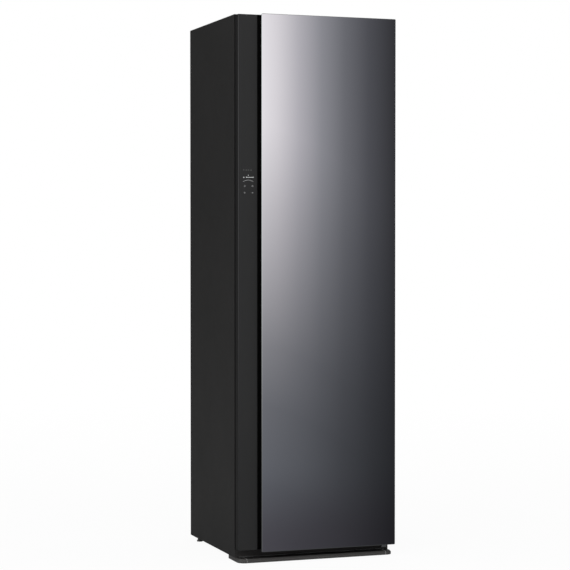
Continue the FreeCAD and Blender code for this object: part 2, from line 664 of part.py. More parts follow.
def hanger_rail():
    """Bar with notches for hanger hooks, on two posts."""
    front, back = f"{RAIL_Y} - rail_thickness / 2", f"{RAIL_Y} + rail_thickness / 2"
    rail = Body("hanger_rail")
    rail.pad("XZ", [rectangle("-1 * rail_length / 2", "rail_length / 2",
                              RAIL_Z, RAIL_TOP_Z)], front, back)
    first = "-1 * notch_pitch * (notch_count - 1) / 2"
    notch = rail.pocket("XZ", [[(f"{first} - notch_width / 2", RAIL_TOP_Z),
                                (f"{first} - notch_width / 4", f"{RAIL_TOP_Z} - notch_depth"),
                                (f"{first} + notch_width / 4", f"{RAIL_TOP_Z} - notch_depth"),
                                (f"{first} + notch_width / 2", RAIL_TOP_Z)]], front, back)
    rail.row(notch, "X", "notch_pitch", "notch_count")
    posts = [rectangle(f"{side} * post_offset - post_half", f"{side} * post_offset + post_half",
                       f"{RAIL_Y} - post_half", f"{RAIL_Y} + post_half") for side in (-1, 1)]
    rail.pad("XY", posts, RAIL_TOP_Z, CARRIAGE_Z)
    rail.done()


def hanger_carriage():
    """Slider on two guide rods, with the crosswise slot of a crank in its top."""
    carriage = Body("hanger_carriage")
    carriage.pad("XY", [rectangle("-1 * carriage_length / 2", "carriage_length / 2",
                                  f"{RAIL_Y} - carriage_width / 2",
                                  f"{RAIL_Y} + carriage_width / 2")],
                 CARRIAGE_Z, CARRIAGE_TOP_Z)
    carriage.pocket("XY", [rectangle(f"{side} * 3 * yoke_half_width",
                                     f"{side} * (post_offset - 2 * post_half)",
                                     f"{RAIL_Y} - yoke_slot_length / 4",
                                     f"{RAIL_Y} + yoke_slot_length / 4")
                           for side in (-1, 1)], CARRIAGE_Z, CARRIAGE_TOP_Z)
    carriage.pocket("XY", [rectangle("-yoke_half_width", "yoke_half_width",
                                     f"{RAIL_Y} - yoke_slot_length / 2",
                                     f"{RAIL_Y} + yoke_slot_length / 2")],
                    f"{CARRIAGE_TOP_Z} - yoke_depth", CARRIAGE_TOP_Z)
    carriage.pocket("YZ", [(y, ROD_Z, "rod_radius + running_gap") for y in ROD_YS],
                    "-1 * carriage_length / 2", "carriage_length / 2")
    carriage.done()


def guide_rods():
    """Two ground rods, held end on between the legs of the drive's frame."""
    half = "(rod_length / 2 - rod_block)"
    keep("guide_rods", group(*[rod((f"-{half}", half), y, ROD_Z, "rod_radius")
                               for y in ROD_YS]))


def drive_frame():
    """Plate over the carriage on two side walls, which also hold the guide rods' ends."""
    back = f"{MOTOR_Y} + drive_motor_half + drive_leg"
    half = "rod_length / 2"
    legs = []
    for side in (-1, 1):
        inner = f"{side} * ({half} - rod_block)"
        legs.append(rectangle(inner, f"{side} * ({half})", f"{RAIL_Y} - carriage_width / 2", back))
    frame = Body("drive_frame")
    frame.pad("XY", legs, CEILING_Z, PLATE_Z)
    frame.pad("XY", [rectangle(f"-({half})", half, f"{RAIL_Y} - carriage_width / 2", back)],
              PLATE_Z, PLATE_TOP_Z)
    frame.pad("XY", [hexagon("0", RAIL_Y, "crank_boss_radius")], PLATE_TOP_Z,
              f"{PLATE_TOP_Z} + crank_boss_height")
    frame.pocket("XY", [("0", RAIL_Y, "crank_shaft_radius + running_gap")], PLATE_Z,
                 f"{PLATE_TOP_Z} + crank_boss_height")
    frame.pocket("XY", [("0", MOTOR_Y, "motor_shaft_radius + slot_gap")], PLATE_Z, PLATE_TOP_Z)
    frame.done()


def pulley_outline(radius, shaft, shaft_top):
    """Half section of a plain pulley for a flat belt, and its shaft above."""
    return [("0", "0"), (radius, "0"), (radius, "pulley_height"),
            (shaft, "pulley_height"), (shaft, shaft_top), ("0", shaft_top)]


def crank_pulley():
    """Driven pulley whose off-centre pin points down into the carriage's slot."""
    shaft_top = f"{PLATE_TOP_Z} + crank_boss_height - {PULLEY_Z}"
    crank = Body("crank_pulley")
    crank.revolve([pulley_outline("crank_radius", "crank_shaft_radius", shaft_top)])
    crank.pad("XY", [("0", "crank_throw", "crank_pin_radius")], "-1 * pin_drop", "0")
    crank.place("0", RAIL_Y, PULLEY_Z)
    crank.done()


def motor_pulley():
    """Small pulley on the hanger motor's shaft."""
    shaft_top = f"{PLATE_TOP_Z} + drive_motor_height / 2 - {PULLEY_Z}"
    pulley = Body("motor_pulley")
    pulley.revolve([pulley_outline("motor_pulley_radius", "motor_shaft_radius", shaft_top)])
    pulley.place("0", MOTOR_Y, PULLEY_Z)
    pulley.done()


def square_motor(name, half, length, shaft_radius):
    """Square motor with bevelled corners, bored to half its length for its shaft."""
    motor = Body(name)
    motor.pad("XY", [rectangle(f"-{half}", half, f"-{half}", half)], "0", length)
    motor.dress("Chamfer", "motor_bevel", upright)
    motor.pocket("XY", [("0", "0", f"{shaft_radius} + running_gap")], "0",
                 f"{length} / 2 + slot_gap")
    return motor


def drive_motor():
    """Motor that stands on the drive's frame."""
    motor = square_motor("drive_motor", "drive_motor_half", "drive_motor_height",
                         "motor_shaft_radius")
    motor.place("0", MOTOR_Y, PLATE_TOP_Z)
    motor.done()


def drive_belt():
    """Flat loop that runs round both pulleys and just clears them."""
    gap = number("fit_gap")
    big = number("crank_radius") + gap
    small = number("motor_pulley_radius") + gap
    spacing, thickness = number("pulley_spacing"), number("belt_thickness")
    lean = math.asin((big - small) / spacing)

    def loop(extra):
        """Closed outline round both pulleys, pushed outwards by an extra distance."""
        def spot(centre, radius, angle):
            return Vector(radius * math.sin(angle), centre + radius * math.cos(angle), 0)
        quarter = math.pi / 2 - lean
        ends = [spot(0, big + extra, angle) for angle in (quarter, math.pi, -quarter)]
        tips = [spot(spacing, small + extra, angle) for angle in (-quarter, 0, quarter)]
        return Part.Wire([Part.Arc(*ends).toShape(), Part.LineSegment(ends[2], tips[0]).toShape(),
                          Part.Arc(*tips).toShape(), Part.LineSegment(tips[2], ends[0]).toShape()])

    width = number("belt_width")
    ring = Part.Face(loop(thickness)).cut(Part.Face(loop(0)))
    belt = solid(ring.extrude(Vector(0, 0, width)).Solids[0])
    bind(belt, Placement__Base__y=RAIL_Y, Placement__Base__z=f"{PULLEY_Z} + belt_inset")
    keep("drive_belt", belt)


# ------------------------------------------------------------------------------------------
# Things that lift out of the chamber
# ------------------------------------------------------------------------------------------
def shelf():
    """Slotted shelf that rests on the ledges of the side walls."""
    half = f"({CHAMBER_X} - shelf_side_gap)"
    front, back = f"({LINER_Y} + shelf_front)", f"({CHAMBER_Y} - shelf_back)"
    low = "(ledge_level + fit_gap)"
    plate = Body("shelf")
    plate.pad("XY", [rectangle(f"-{half}", half, front, back)], low, f"{low} + shelf_height")
    first = "-1 * shelf_slot_pitch * (shelf_slot_count - 1) / 2"
    slot = plate.pocket("XY", [rectangle(f"{first} - shelf_slot / 2", f"{first} + shelf_slot / 2",
                                         f"{front} + shelf_border", f"{back} - shelf_border")],
                        low, f"{low} + shelf_height")
    plate.row(slot, "X", "shelf_slot_pitch", "shelf_slot_count")
    plate.done()


def lint_filter():
    """Deep frame with a ribbed window, hung by its rim in the floor's mouth."""
    rim_z = "(chamber_bottom + fit_gap)"
    front = f"({LINER_Y} + filter_setback)"
    left, right = "(-filter_offset - filter_width / 2)", "(-filter_offset + filter_width / 2)"
    frame = Body("lint_filter")
    frame.pad("XY", [filter_mouth("0")], f"{rim_z} - filter_drop", rim_z)
    frame.pad("XY", [filter_mouth("filter_flange")], rim_z, f"{rim_z} + filter_flange_height")
    frame.pocket("XY", [rectangle(f"{left} + filter_bar", f"{right} - filter_bar",
                                  f"{front} + filter_bar",
                                  f"{front} + filter_length - filter_bar")],
                 f"{rim_z} - filter_drop + filter_bar", f"{rim_z} + filter_flange_height")
    window = frame.pocket("XZ", [rectangle(f"{left} + filter_bar",
                                           f"{left} + filter_bar + filter_rib_pitch - filter_rib",
                                           f"{rim_z} - filter_drop + 2 * filter_bar",
                                           f"{rim_z} - 2 * filter_bar")],
                          front, f"{front} + filter_length")
    frame.row(window, "X", "filter_rib_pitch", "floor((filter_width - filter_bar) / filter_rib_pitch)")
    frame.done()


def aroma_cassette():
    """Shallow cup with a slotted lid, hung in the floor's second mouth."""
    rim_z = "(chamber_bottom + fit_gap)"
    cup = Body("aroma_cassette")
    cup.pad("XY", [cassette_mouth("0")], f"{rim_z} - cassette_drop", rim_z)
    cup.pad("XY", [cassette_mouth("filter_flange")], rim_z, f"{rim_z} + filter_flange_height")
    front = f"({LINER_Y} + cassette_setback)"
    slot = cup.pocket("XY", [rectangle(f"{CASSETTE_X} - cassette_width / 2 + filter_bar",
                                       f"{CASSETTE_X} - cassette_width / 2 + 2 * filter_bar",
                                       f"{front} + filter_bar",
                                       f"{front} + cassette_length - filter_bar")],
                      f"{rim_z} - cassette_drop / 2", f"{rim_z} + filter_flange_height")
    cup.row(slot, "X", "2 * filter_bar", "floor((cassette_width - filter_bar) / (2 * filter_bar))")
    cup.done()


# ------------------------------------------------------------------------------------------
# Water tanks and the bay that they slide into
# ------------------------------------------------------------------------------------------
TANK_Y = f"({CASE_Y} + tank_setback)"
TANK_BACK_Y = f"({TANK_Y} + tank_depth)"
TANK_OFFSET = "(bay_divider / 2 + bay_gap + tank_width / 2)"
TANK_TOP_Z = "(tank_bottom + tank_height)"
BAY_X = "(bay_divider / 2 + 2 * bay_gap + tank_width)"
BAY_BOTTOM_Z = "(tank_bottom - fit_gap)"
BAY_TOP_Z = f"({TANK_TOP_Z} + bay_gap)"
BAY_BACK_Y = f"({TANK_BACK_Y} + bay_gap)"


def tank_bay():
    """Moulded box with a divider, open to the front."""
    outline = rectangle(f"-({BAY_X} + bay_wall)", f"{BAY_X} + bay_wall",
                        f"{BAY_BOTTOM_Z} - bay_wall", f"{BAY_TOP_Z} + bay_wall")
    cells = [rectangle(f"{side} * bay_divider / 2", f"{side} * {BAY_X}", BAY_BOTTOM_Z, BAY_TOP_Z)
             for side in (-1, 1)]
    bay = Body("tank_bay")
    bay.pad("XZ", [outline] + cells, LINER_Y, BAY_BACK_Y)
    bay.pad("XZ", [outline], BAY_BACK_Y, f"{BAY_BACK_Y} + bay_wall")
    bay.done()


def tank(name, side):
    """Hollow water tank with a finger pocket in its front and a cap on its top."""
    middle = f"{side} * {TANK_OFFSET}"
    left, right = f"{middle} - tank_width / 2", f"{middle} + tank_width / 2"
    vessel = Body(name)
    vessel.pad("XZ", [rectangle(left, right, "tank_bottom", TANK_TOP_Z)], TANK_Y, TANK_BACK_Y)
    vessel.dress("Fillet", "tank_round", lambda edge: at(edge, "Y", TANK_Y))
    grip_top = f"({TANK_TOP_Z} - tank_grip_drop)"
    vessel.pocket("XZ", [rectangle(f"{middle} - tank_grip_width / 2",
                                   f"{middle} + tank_grip_width / 2",
                                   f"{grip_top} - tank_grip_height", grip_top)],
                  TANK_Y, f"{TANK_Y} + tank_grip_depth")
    vessel.pad("XY", [(middle, f"{TANK_Y} + tank_depth / 2", "tank_port_radius")],
               TANK_TOP_Z, f"{TANK_TOP_Z} + tank_port_height")
    water = box((f"{left} + tank_wall", f"{right} - tank_wall"),
                (f"{TANK_Y} + tank_grip_depth + tank_wall", f"{TANK_BACK_Y} - tank_wall"),
                ("tank_bottom + tank_wall", f"{TANK_TOP_Z} - tank_wall"))
    keep(name, cut(vessel.body, water))


# ------------------------------------------------------------------------------------------
# Heat pump duct under the chamber's floor
# ------------------------------------------------------------------------------------------
DUCT_Y = f"({BAY_BACK_Y} + bay_wall)"
DUCT_BACK_Y = f"({DUCT_Y} + duct_length)"
DUCT_X = f"({CHAMBER_X} - duct_side_gap)"
EXCHANGER_X = f"({DUCT_X} - exchanger_side_gap)"
DUCT_FLOOR_Z = "(duct_bottom + duct_wall)"
EVAPORATOR_Y = f"({DUCT_Y} + evaporator_setback)"
CONDENSER_Y = f"({EVAPORATOR_Y} + exchanger_depth + exchanger_gap)"
BLOWER_Y = f"({CONDENSER_Y} + exchanger_depth + blower_gap)"
BLOWER_FRONT_Y = f"({BLOWER_Y} + scroll_wall)"
BLOWER_BACK_Y = f"({BLOWER_FRONT_Y} + wheel_width + 2 * wheel_gap)"
BLOWER_END_Y = f"({BLOWER_BACK_Y} + scroll_wall)"
SCROLL_RADIUS = "(wheel_radius + cutoff_gap)"
THROAT_RIGHT_X = f"(blower_offset + {SCROLL_RADIUS} + 3 * scroll_growth)"
THROAT_LEFT_X = f"({THROAT_RIGHT_X} - throat_width)"
WHEEL_Z = f"({DUCT_FLOOR_Z} + blower_foot + scroll_wall + {SCROLL_RADIUS} + scroll_growth)"
CONDENSER_MIDDLE_Y = f"({CONDENSER_Y} + exchanger_depth / 2)"
EVAPORATOR_MIDDLE_Y = f"({EVAPORATOR_Y} + exchanger_depth / 2)"


def duct_tray():
    """Deep open tray under the floor, which leads the air over both exchangers."""
    outline = rectangle(f"-{DUCT_X}", DUCT_X, DUCT_Y, DUCT_BACK_Y)
    tray = Body("duct_tray")
    tray.pad("XY", [outline], "duct_bottom", FLOOR_PLATE_Z)
    tray.pocket("XY", [rectangle(f"-({DUCT_X} - duct_wall)", f"{DUCT_X} - duct_wall",
                                 f"{DUCT_Y} + duct_wall", f"{DUCT_BACK_Y} - duct_wall")],
                DUCT_FLOOR_Z, FLOOR_PLATE_Z)
    tray.pocket("XY", [rectangle("compressor_offset - pipe_hole_half",
                                 "compressor_offset + pipe_hole_half",
                                 f"{middle_y} - pipe_hole_half", f"{middle_y} + pipe_hole_half")
                       for middle_y in (EVAPORATOR_MIDDLE_Y, CONDENSER_MIDDLE_Y)],
                "duct_bottom", DUCT_FLOOR_Z)
    tray.done()


def exchanger(name, front):
    """Finned heat exchanger with an upright header along each end."""
    half, top = EXCHANGER_X, f"({DUCT_FLOOR_Z} + exchanger_height)"
    back = f"{front} + exchanger_depth"
    block = Body(name)
    block.pad("XZ", [rectangle(f"-{half}", half, DUCT_FLOOR_Z, top)], front, back)
    middle = f"({front} + exchanger_depth / 2)"
    for end in (f"-{half}", half):
        block.pad("XY", [rectangle(f"{end} - header_half", f"{end} + header_half",
                                   f"{middle} - header_half", f"{middle} + header_half")],
                  DUCT_FLOOR_Z, top)
    gap = block.pocket("XZ", [rectangle(f"-{half} + fin_gauge", f"-{half} + fin_pitch",
                                        f"{DUCT_FLOOR_Z} + exchanger_rail",
                                        f"{top} - exchanger_rail")], front, back)
    block.row(gap, "X", "fin_pitch", f"floor((2 * {half} - fin_gauge) / fin_pitch)")
    block.done()


def scroll_outline(extra):
    """Face inside the blower's scroll, about the wheel's centre, pushed outwards by extra.

    Three quarter circles grow into one another round the wheel. Their centres step round a
    small square, so the wall stays smooth, and it ends in the straight throat.
    """
    radius, growth = number(SCROLL_RADIUS) + extra, number("scroll_growth")
    right = number(f"{THROAT_RIGHT_X} - blower_offset") + extra
    left = number(f"{THROAT_LEFT_X} - blower_offset") - extra
    top = number(f"{FLOOR_PLATE_Z} - {WHEEL_Z}")
    diagonal = math.sqrt(0.5)
    tongue = Vector(left, 0, math.sqrt(radius ** 2 - left ** 2))
    angle = (math.atan2(tongue.z, tongue.x) + math.pi) / 2
    ends = [Vector(-radius, 0, 0), Vector(growth, 0, -radius - growth),
            Vector(right, 0, growth)]
    second, third = radius + growth, radius + 2 * growth
    path = [
        Part.Arc(tongue, Vector(radius * math.cos(angle), 0, radius * math.sin(angle)), ends[0]),
        Part.Arc(ends[0], Vector(growth - second * diagonal, 0, -second * diagonal), ends[1]),
        Part.Arc(ends[1], Vector(growth + third * diagonal, 0, growth - third * diagonal),
                 ends[2]),
        Part.LineSegment(ends[2], Vector(right, 0, top)),
        Part.LineSegment(Vector(right, 0, top), Vector(left, 0, top)),
        Part.LineSegment(Vector(left, 0, top), tongue),
    ]
    return Part.Face(Part.Wire([piece.toShape() for piece in path]))


def blower_housing():
    """Scroll with a round inlet in front, a shaft hole behind and an open throat on top."""
    wall, depth = number("scroll_wall"), number(f"{BLOWER_END_Y} - {BLOWER_Y}")
    shell = scroll_outline(wall).extrude(Vector(0, depth, 0))
    foot_half, foot_low = number("hub_radius * 3"), number(f"{DUCT_FLOOR_Z} - {WHEEL_Z}")
    foot = Part.makeBox(2 * foot_half, depth, number("wheel_radius") / 2,
                        Vector(-foot_half, 0, foot_low))
    shell = shell.fuse(foot)
    room = scroll_outline(0).extrude(Vector(0, depth - 2 * wall, 0))
    room.translate(Vector(0, wall, 0))
    inlet = Part.makeCylinder(number("inlet_radius"), wall, Vector(), Vector(0, 1, 0))
    shaft = Part.makeCylinder(number("hub_radius"), wall, Vector(0, depth - wall, 0),
                              Vector(0, 1, 0))
    housing = solid(shell.cut([room, inlet, shaft]).removeSplitter().Solids[0])
    bind(housing, Placement__Base__x="blower_offset", Placement__Base__y=BLOWER_Y,
         Placement__Base__z=WHEEL_Z)
    keep("blower_housing", housing)


def blower_wheel():
    """Centrifugal wheel: flat blades that lean back, on a plate round the hub."""
    outer, width = number("wheel_radius"), number("wheel_width")
    inner = outer - number("blade_depth")
    lean, gauge = math.radians(number("blade_lean")), number("blade_gauge")
    count = int(number("blade_count"))
    root = Vector(inner, 0, 0)
    tip = Vector(outer * math.cos(lean), outer * math.sin(lean), 0)
    across = (tip - root).normalize().cross(Vector(0, 0, gauge))
    outline = Part.makePolygon([root, root + across, tip + across, tip, root])
    blade = Part.Face(outline).extrude(Vector(0, 0, width))
    blades = [blade.rotated(Vector(), Vector(0, 0, 1), 360 * place / count)
              for place in range(count)]
    plate = number("wheel_plate")
    back = Part.makeCylinder(outer + gauge, plate, Vector(0, 0, width - plate))
    shaft_end = number(f"{BLOWER_END_Y} - {BLOWER_FRONT_Y} - wheel_gap + blower_motor_length / 2")
    shaft = Part.makeCylinder(number("blower_shaft_radius"), shaft_end - width,
                              Vector(0, 0, width))
    hub = Part.makeCylinder(number("hub_radius - fit_gap"), width / 2, Vector(0, 0, width / 2))
    wheel = solid(back.multiFuse(blades + [hub, shaft]).removeSplitter().Solids[0])
    wheel.Placement = FreeCAD.Placement(Vector(), FreeCAD.Rotation(*TURN_TO_Y))
    bind(wheel, Placement__Base__x="blower_offset",
         Placement__Base__y=f"{BLOWER_FRONT_Y} + wheel_gap", Placement__Base__z=WHEEL_Z)
    keep("blower_wheel", wheel)


def blower_motor():
    """Motor against the back of the scroll."""
    motor = square_motor("blower_motor", "blower_motor_half", "blower_motor_length",
                         "blower_shaft_radius")
    motor.place("blower_offset", BLOWER_END_Y, WHEEL_Z, TURN_TO_Y)
    motor.done()


# ------------------------------------------------------------------------------------------
# Machine room floor
# ------------------------------------------------------------------------------------------
RUBBER_TOP_Z = f"({FLOOR_Z} + rubber_height)"
COMPRESSOR_Z = f"({RUBBER_TOP_Z} + compressor_plate)"
COMPRESSOR_TOP_Z = f"({COMPRESSOR_Z} + compressor_height)"
ACCUMULATOR_Z = f"({COMPRESSOR_Z} + accumulator_lift)"
ACCUMULATOR_TOP_Z = f"({ACCUMULATOR_Z} + accumulator_height)"
MOUNT_TURNS = (90, 210, 330)
NOZZLE_X = f"(nozzle_inset - {CHAMBER_X})"
NOZZLE_Y = f"({CHAMBER_Y} - nozzle_setback)"
BOILER_X = f"({NOZZLE_X} + boiler_shift)"
BOX_X = f"(box_inset - {SIDE_X})"
BOILER_Z = f"({FLOOR_Z} + boiler_foot_height)"


def mount_corner(turn, reach="compressor_plate_radius"):
    """A point at a given angle and reach from the compressor's axis."""
    return (f"compressor_offset + ({reach}) * cos({turn} deg)",
            f"{CONDENSER_MIDDLE_Y} + ({reach}) * sin({turn} deg)")


def compressor():
    """Can on a three-cornered plate under the condenser, with its accumulator in front."""
    can = Body("compressor")
    can.pad("XY", [[mount_corner(turn + lean, "compressor_plate_radius + rubber_half")
                    for turn in MOUNT_TURNS for lean in (-12, 12)]], RUBBER_TOP_Z, COMPRESSOR_Z)
    can.pad("XY", [("compressor_offset", CONDENSER_MIDDLE_Y, "compressor_radius")],
            COMPRESSOR_Z, COMPRESSOR_TOP_Z)
    can.pad("XY", [("compressor_offset", EVAPORATOR_MIDDLE_Y, "accumulator_radius")],
            ACCUMULATOR_Z, ACCUMULATOR_TOP_Z)
    can.pad("XY", [rectangle("compressor_offset - rubber_half",
                             "compressor_offset + rubber_half",
                             EVAPORATOR_MIDDLE_Y, CONDENSER_MIDDLE_Y)],
            f"{ACCUMULATOR_Z} + accumulator_height / 3",
            f"{ACCUMULATOR_Z} + accumulator_height / 2")
    can.done()


def compressor_mounts():
    """Rubber blocks under the plate's corners."""
    blocks = []
    for turn in MOUNT_TURNS:
        x, y = mount_corner(turn)
        blocks.append(box((f"{x} - rubber_half", f"{x} + rubber_half"),
                          (f"{y} - rubber_half", f"{y} + rubber_half"), (FLOOR_Z, RUBBER_TOP_Z)))
    keep("compressor_mounts", group(*blocks))


def refrigerant_pipes():
    """Copper pipes up from the compressor and its accumulator, and one between the exchangers."""
    hot = rod("compressor_offset", CONDENSER_MIDDLE_Y, (COMPRESSOR_TOP_Z, DUCT_FLOOR_Z),
              "pipe_radius")
    cold = rod("compressor_offset", EVAPORATOR_MIDDLE_Y, (ACCUMULATOR_TOP_Z, DUCT_FLOOR_Z),
               "pipe_radius")
    liquid = rod(f"pipe_inset - {EXCHANGER_X}",
                 (f"{EVAPORATOR_Y} + exchanger_depth", CONDENSER_Y),
                 f"{DUCT_FLOOR_Z} + exchanger_height - exchanger_rail / 2", "exchanger_rail / 2")
    keep("refrigerant_pipes", group(hot, cold, liquid))


def steam_generator():
    """Boiler with bevelled corners on two skids, with a nipple on its top for the steam hose."""
    left, right = f"({BOILER_X} - boiler_length / 2)", f"({BOILER_X} + boiler_length / 2)"
    front = f"({NOZZLE_Y} - boiler_width / 2)"
    back = f"({NOZZLE_Y} + boiler_width / 2)"
    top = f"({BOILER_Z} + boiler_height)"
    boiler = Body("steam_generator")
    boiler.pad("XY", [rectangle(left, right, front, back)], BOILER_Z, top)
    boiler.dress("Chamfer", "boiler_bevel", upright)
    boiler.pad("XY", [rectangle(f"{x} {sign} boiler_foot / 2", f"{x} {sign} 1.5 * boiler_foot",
                                f"{front} + boiler_foot", f"{back} - boiler_foot")
                      for x, sign in ((left, "+"), (right, "-"))], FLOOR_Z, BOILER_Z)
    boiler.pad("XY", [hexagon(NOZZLE_X, NOZZLE_Y, "nozzle_radius")], top,
               f"{top} + nozzle_rise")
    boiler.done()


def steam_hose():
    """Hose from the boiler's nipple straight up past the duct to the floor of the chamber."""
    keep("steam_hose", rod(NOZZLE_X, NOZZLE_Y,
                           (f"{BOILER_Z} + boiler_height + nozzle_rise", "chamber_bottom"),
                           "hose_radius"))


def water_pumps():
    """Two small pumps, one for each tank, with a square outlet on top of each."""
    pumps = []
    front = f"({LINER_Y} + pump_front)"
    top = f"({FLOOR_Z} + pump_height)"
    for side in (-1, 1):
        x = f"{side} * pump_offset"
        pump = Body("water_pump")
        pump.pad("XZ", [rectangle(f"{x} - pump_half", f"{x} + pump_half", FLOOR_Z, top)],
                 front, f"{front} + pump_length")
        pump.dress("Chamfer", "pump_bevel", lambda edge: edge.BoundBox.XLength < 1e-6
                   and at(edge, "Z", top))
        pump.pad("XY", [rectangle(f"{x} - pump_nipple", f"{x} + pump_nipple",
                                  f"{front} + pump_nipple", f"{front} + 3 * pump_nipple")],
                 top, f"{top} + pump_nipple_length")
        pumps.append(pump.body)
    keep("water_pumps", group(*pumps))


def control_box():
    """Lidded box for the electronics, in front of the boiler."""
    left, right = f"({BOX_X} - box_width / 2)", f"({BOX_X} + box_width / 2)"
    front = f"({LINER_Y} + box_front)"
    back, top = f"({front} + box_depth)", f"({FLOOR_Z} + box_height)"
    case = Body("control_box")
    case.pad("XY", [rectangle(left, right, front, back)], FLOOR_Z, top)
    case.dress("Chamfer", "2 * box_wall", upright)
    case.pad("XY", [rectangle(f"{left} + 2 * box_wall", f"{right} - 2 * box_wall",
                              f"{front} + 2 * box_wall", f"{back} - 2 * box_wall")],
             top, f"{top} + box_wall")
    case.done()


# ------------------------------------------------------------------------------------------
# The door
# ------------------------------------------------------------------------------------------
GRIP_Y = f"({STRIP_Y} + grip_depth)"
GRIP_BACK_Y = f"({GRIP_Y} + grip_wall)"
GRIP_WALL_X = f"({GRIP_X} + grip_wall)"
PLUG_X = f"({CHAMBER_X} - plug_gap)"
PLUG_Y = f"({DOOR_Y} + plug_depth)"
PRESS_Y = f"({PLUG_Y} + press_stand)"
PRESS_TOP_Z = f"({CHAMBER_TOP_Z} - press_top_gap)"
PRESS_Z = f"({PRESS_TOP_Z} - press_height)"
PRESS_MIDDLE_Z = f"({PRESS_Z} + press_height / 2)"
LATCH_X = "(press_hinge_offset - press_width - latch_gap)"
LATCH_Y = f"({PRESS_Y} + press_thickness / 2 + pin_tip_gap)"
BUSH_HALF = "(pin_radius + running_gap + bush_wall)"
BUSH_OUTLINE = rectangle(f"{HINGE_X} - {BUSH_HALF}", f"{HINGE_X} + {BUSH_HALF}",
                         f"{HINGE_Y} - {BUSH_HALF}", f"{HINGE_Y} + {BUSH_HALF}")
DISPLAY_X = f"(strip_width / 2 - {SIDE_X})"


def display_outline(gap):
    return rectangle(f"{DISPLAY_X} - display_width / 2 - {gap}",
                     f"{DISPLAY_X} + display_width / 2 + {gap}",
                     f"display_middle - display_height / 2 - {gap}",
                     f"display_middle + display_height / 2 + {gap}")


def door_shell():
    """Thin folded shell, open to the back, with the grip's upright channel in its front."""
    outer = [(f"-{SIDE_X}", DOOR_Y), (f"-{SIDE_X}", SKIN_Y), (STRIP_X, SKIN_Y),
             (STRIP_X, GRIP_BACK_Y), (GRIP_WALL_X, GRIP_BACK_Y), (GRIP_WALL_X, SKIN_Y),
             (SIDE_X, SKIN_Y), (SIDE_X, DOOR_Y)]
    inner = [(f"{SIDE_X} - door_skin", DOOR_Y),
             (f"{SIDE_X} - door_skin", f"{SKIN_Y} + door_skin"),
             (f"{GRIP_WALL_X} + door_skin", f"{SKIN_Y} + door_skin"),
             (f"{GRIP_WALL_X} + door_skin", f"{GRIP_BACK_Y} + door_skin"),
             (f"{STRIP_X} - door_skin", f"{GRIP_BACK_Y} + door_skin"),
             (f"{STRIP_X} - door_skin", f"{SKIN_Y} + door_skin"),
             (f"door_skin - {SIDE_X}", f"{SKIN_Y} + door_skin"),
             (f"door_skin - {SIDE_X}", DOOR_Y)]
    shell = Body("door_shell")
    shell.pad("XY", [outer, BUSH_OUTLINE], "door_bottom", "door_bottom + door_skin")
    shell.pad("XY", [outer + inner], "door_bottom + door_skin", f"{DOOR_TOP_Z} - door_skin")
    shell.pad("XY", [outer, BUSH_OUTLINE], f"{DOOR_TOP_Z} - door_skin", DOOR_TOP_Z)
    shell.pocket("XZ", [display_outline("fit_gap")], SKIN_Y, f"{SKIN_Y} + door_skin")
    shell.done()


def grip_channel():
    """Dark trim that lines the grip's channel over the door's whole height."""
    left = f"{STRIP_X} + grip_wall"
    trim = Body("grip_channel")
    trim.pad("XY", [[(STRIP_X, STRIP_Y), (left, STRIP_Y), (left, GRIP_Y), (GRIP_X, GRIP_Y),
                     (GRIP_X, SKIN_Y), (GRIP_WALL_X, SKIN_Y), (GRIP_WALL_X, GRIP_BACK_Y),
                     (STRIP_X, GRIP_BACK_Y)]], "door_bottom", DOOR_TOP_Z)
    trim.done()


def control_strip():
    """Flat cover beside the grip, bevelled along its free edge and thinned at the display."""
    strip = Body("control_strip")
    strip.pad("XY", [[(f"-{SIDE_X}", SKIN_Y), (f"-{SIDE_X}", f"{STRIP_Y} + strip_bevel"),
                      (f"strip_bevel - {SIDE_X}", STRIP_Y), (STRIP_X, STRIP_Y),
                      (STRIP_X, SKIN_Y)]], "door_bottom", DOOR_TOP_Z)
    strip.pocket("XZ", [display_outline("fit_gap")], f"{SKIN_Y} - display_recess", SKIN_Y)
    strip.done()


def display_module():
    """Board with its light guide, held behind the thinned part of the strip."""
    outline = display_outline("0")
    front = f"({SKIN_Y} - display_recess)"
    board = Body("display_module")
    board.pad("XZ", [outline], front, f"{front} + display_board")
    board.done()


def mirror_carrier():
    """Tray that stands the mirror off the door, ribbed across and open to the back."""
    right = f"({SIDE_X} - carrier_inset)"
    tray = Body("mirror_carrier")
    tray.pad("XZ", [rectangle(GRIP_X, right, "door_bottom", DOOR_TOP_Z)], GLASS_Y, SKIN_Y)
    pitch = f"(({DOOR_TOP_Z} - door_bottom - carrier_wall) / carrier_cell_count)"
    cell = tray.pocket("XZ", [rectangle(f"{GRIP_X} + carrier_wall", f"{right} - carrier_wall",
                                        "door_bottom + carrier_wall", f"door_bottom + {pitch}")],
                       f"{GLASS_Y} + carrier_wall", SKIN_Y)
    tray.row(cell, "Z", pitch, "carrier_cell_count")
    tray.done()


def mirror_glass():
    """Full-height mirror with bevelled edges, which overhangs the grip's channel."""
    glass = Body("mirror_glass")
    glass.pad("XZ", [rectangle(GLASS_X, SIDE_X, "glass_bottom", GLASS_TOP_Z)], MIRROR_Y, GLASS_Y)
    glass.dress("Chamfer", "glass_bevel", lambda edge: at(edge, "Y", MIRROR_Y))
    glass.done()


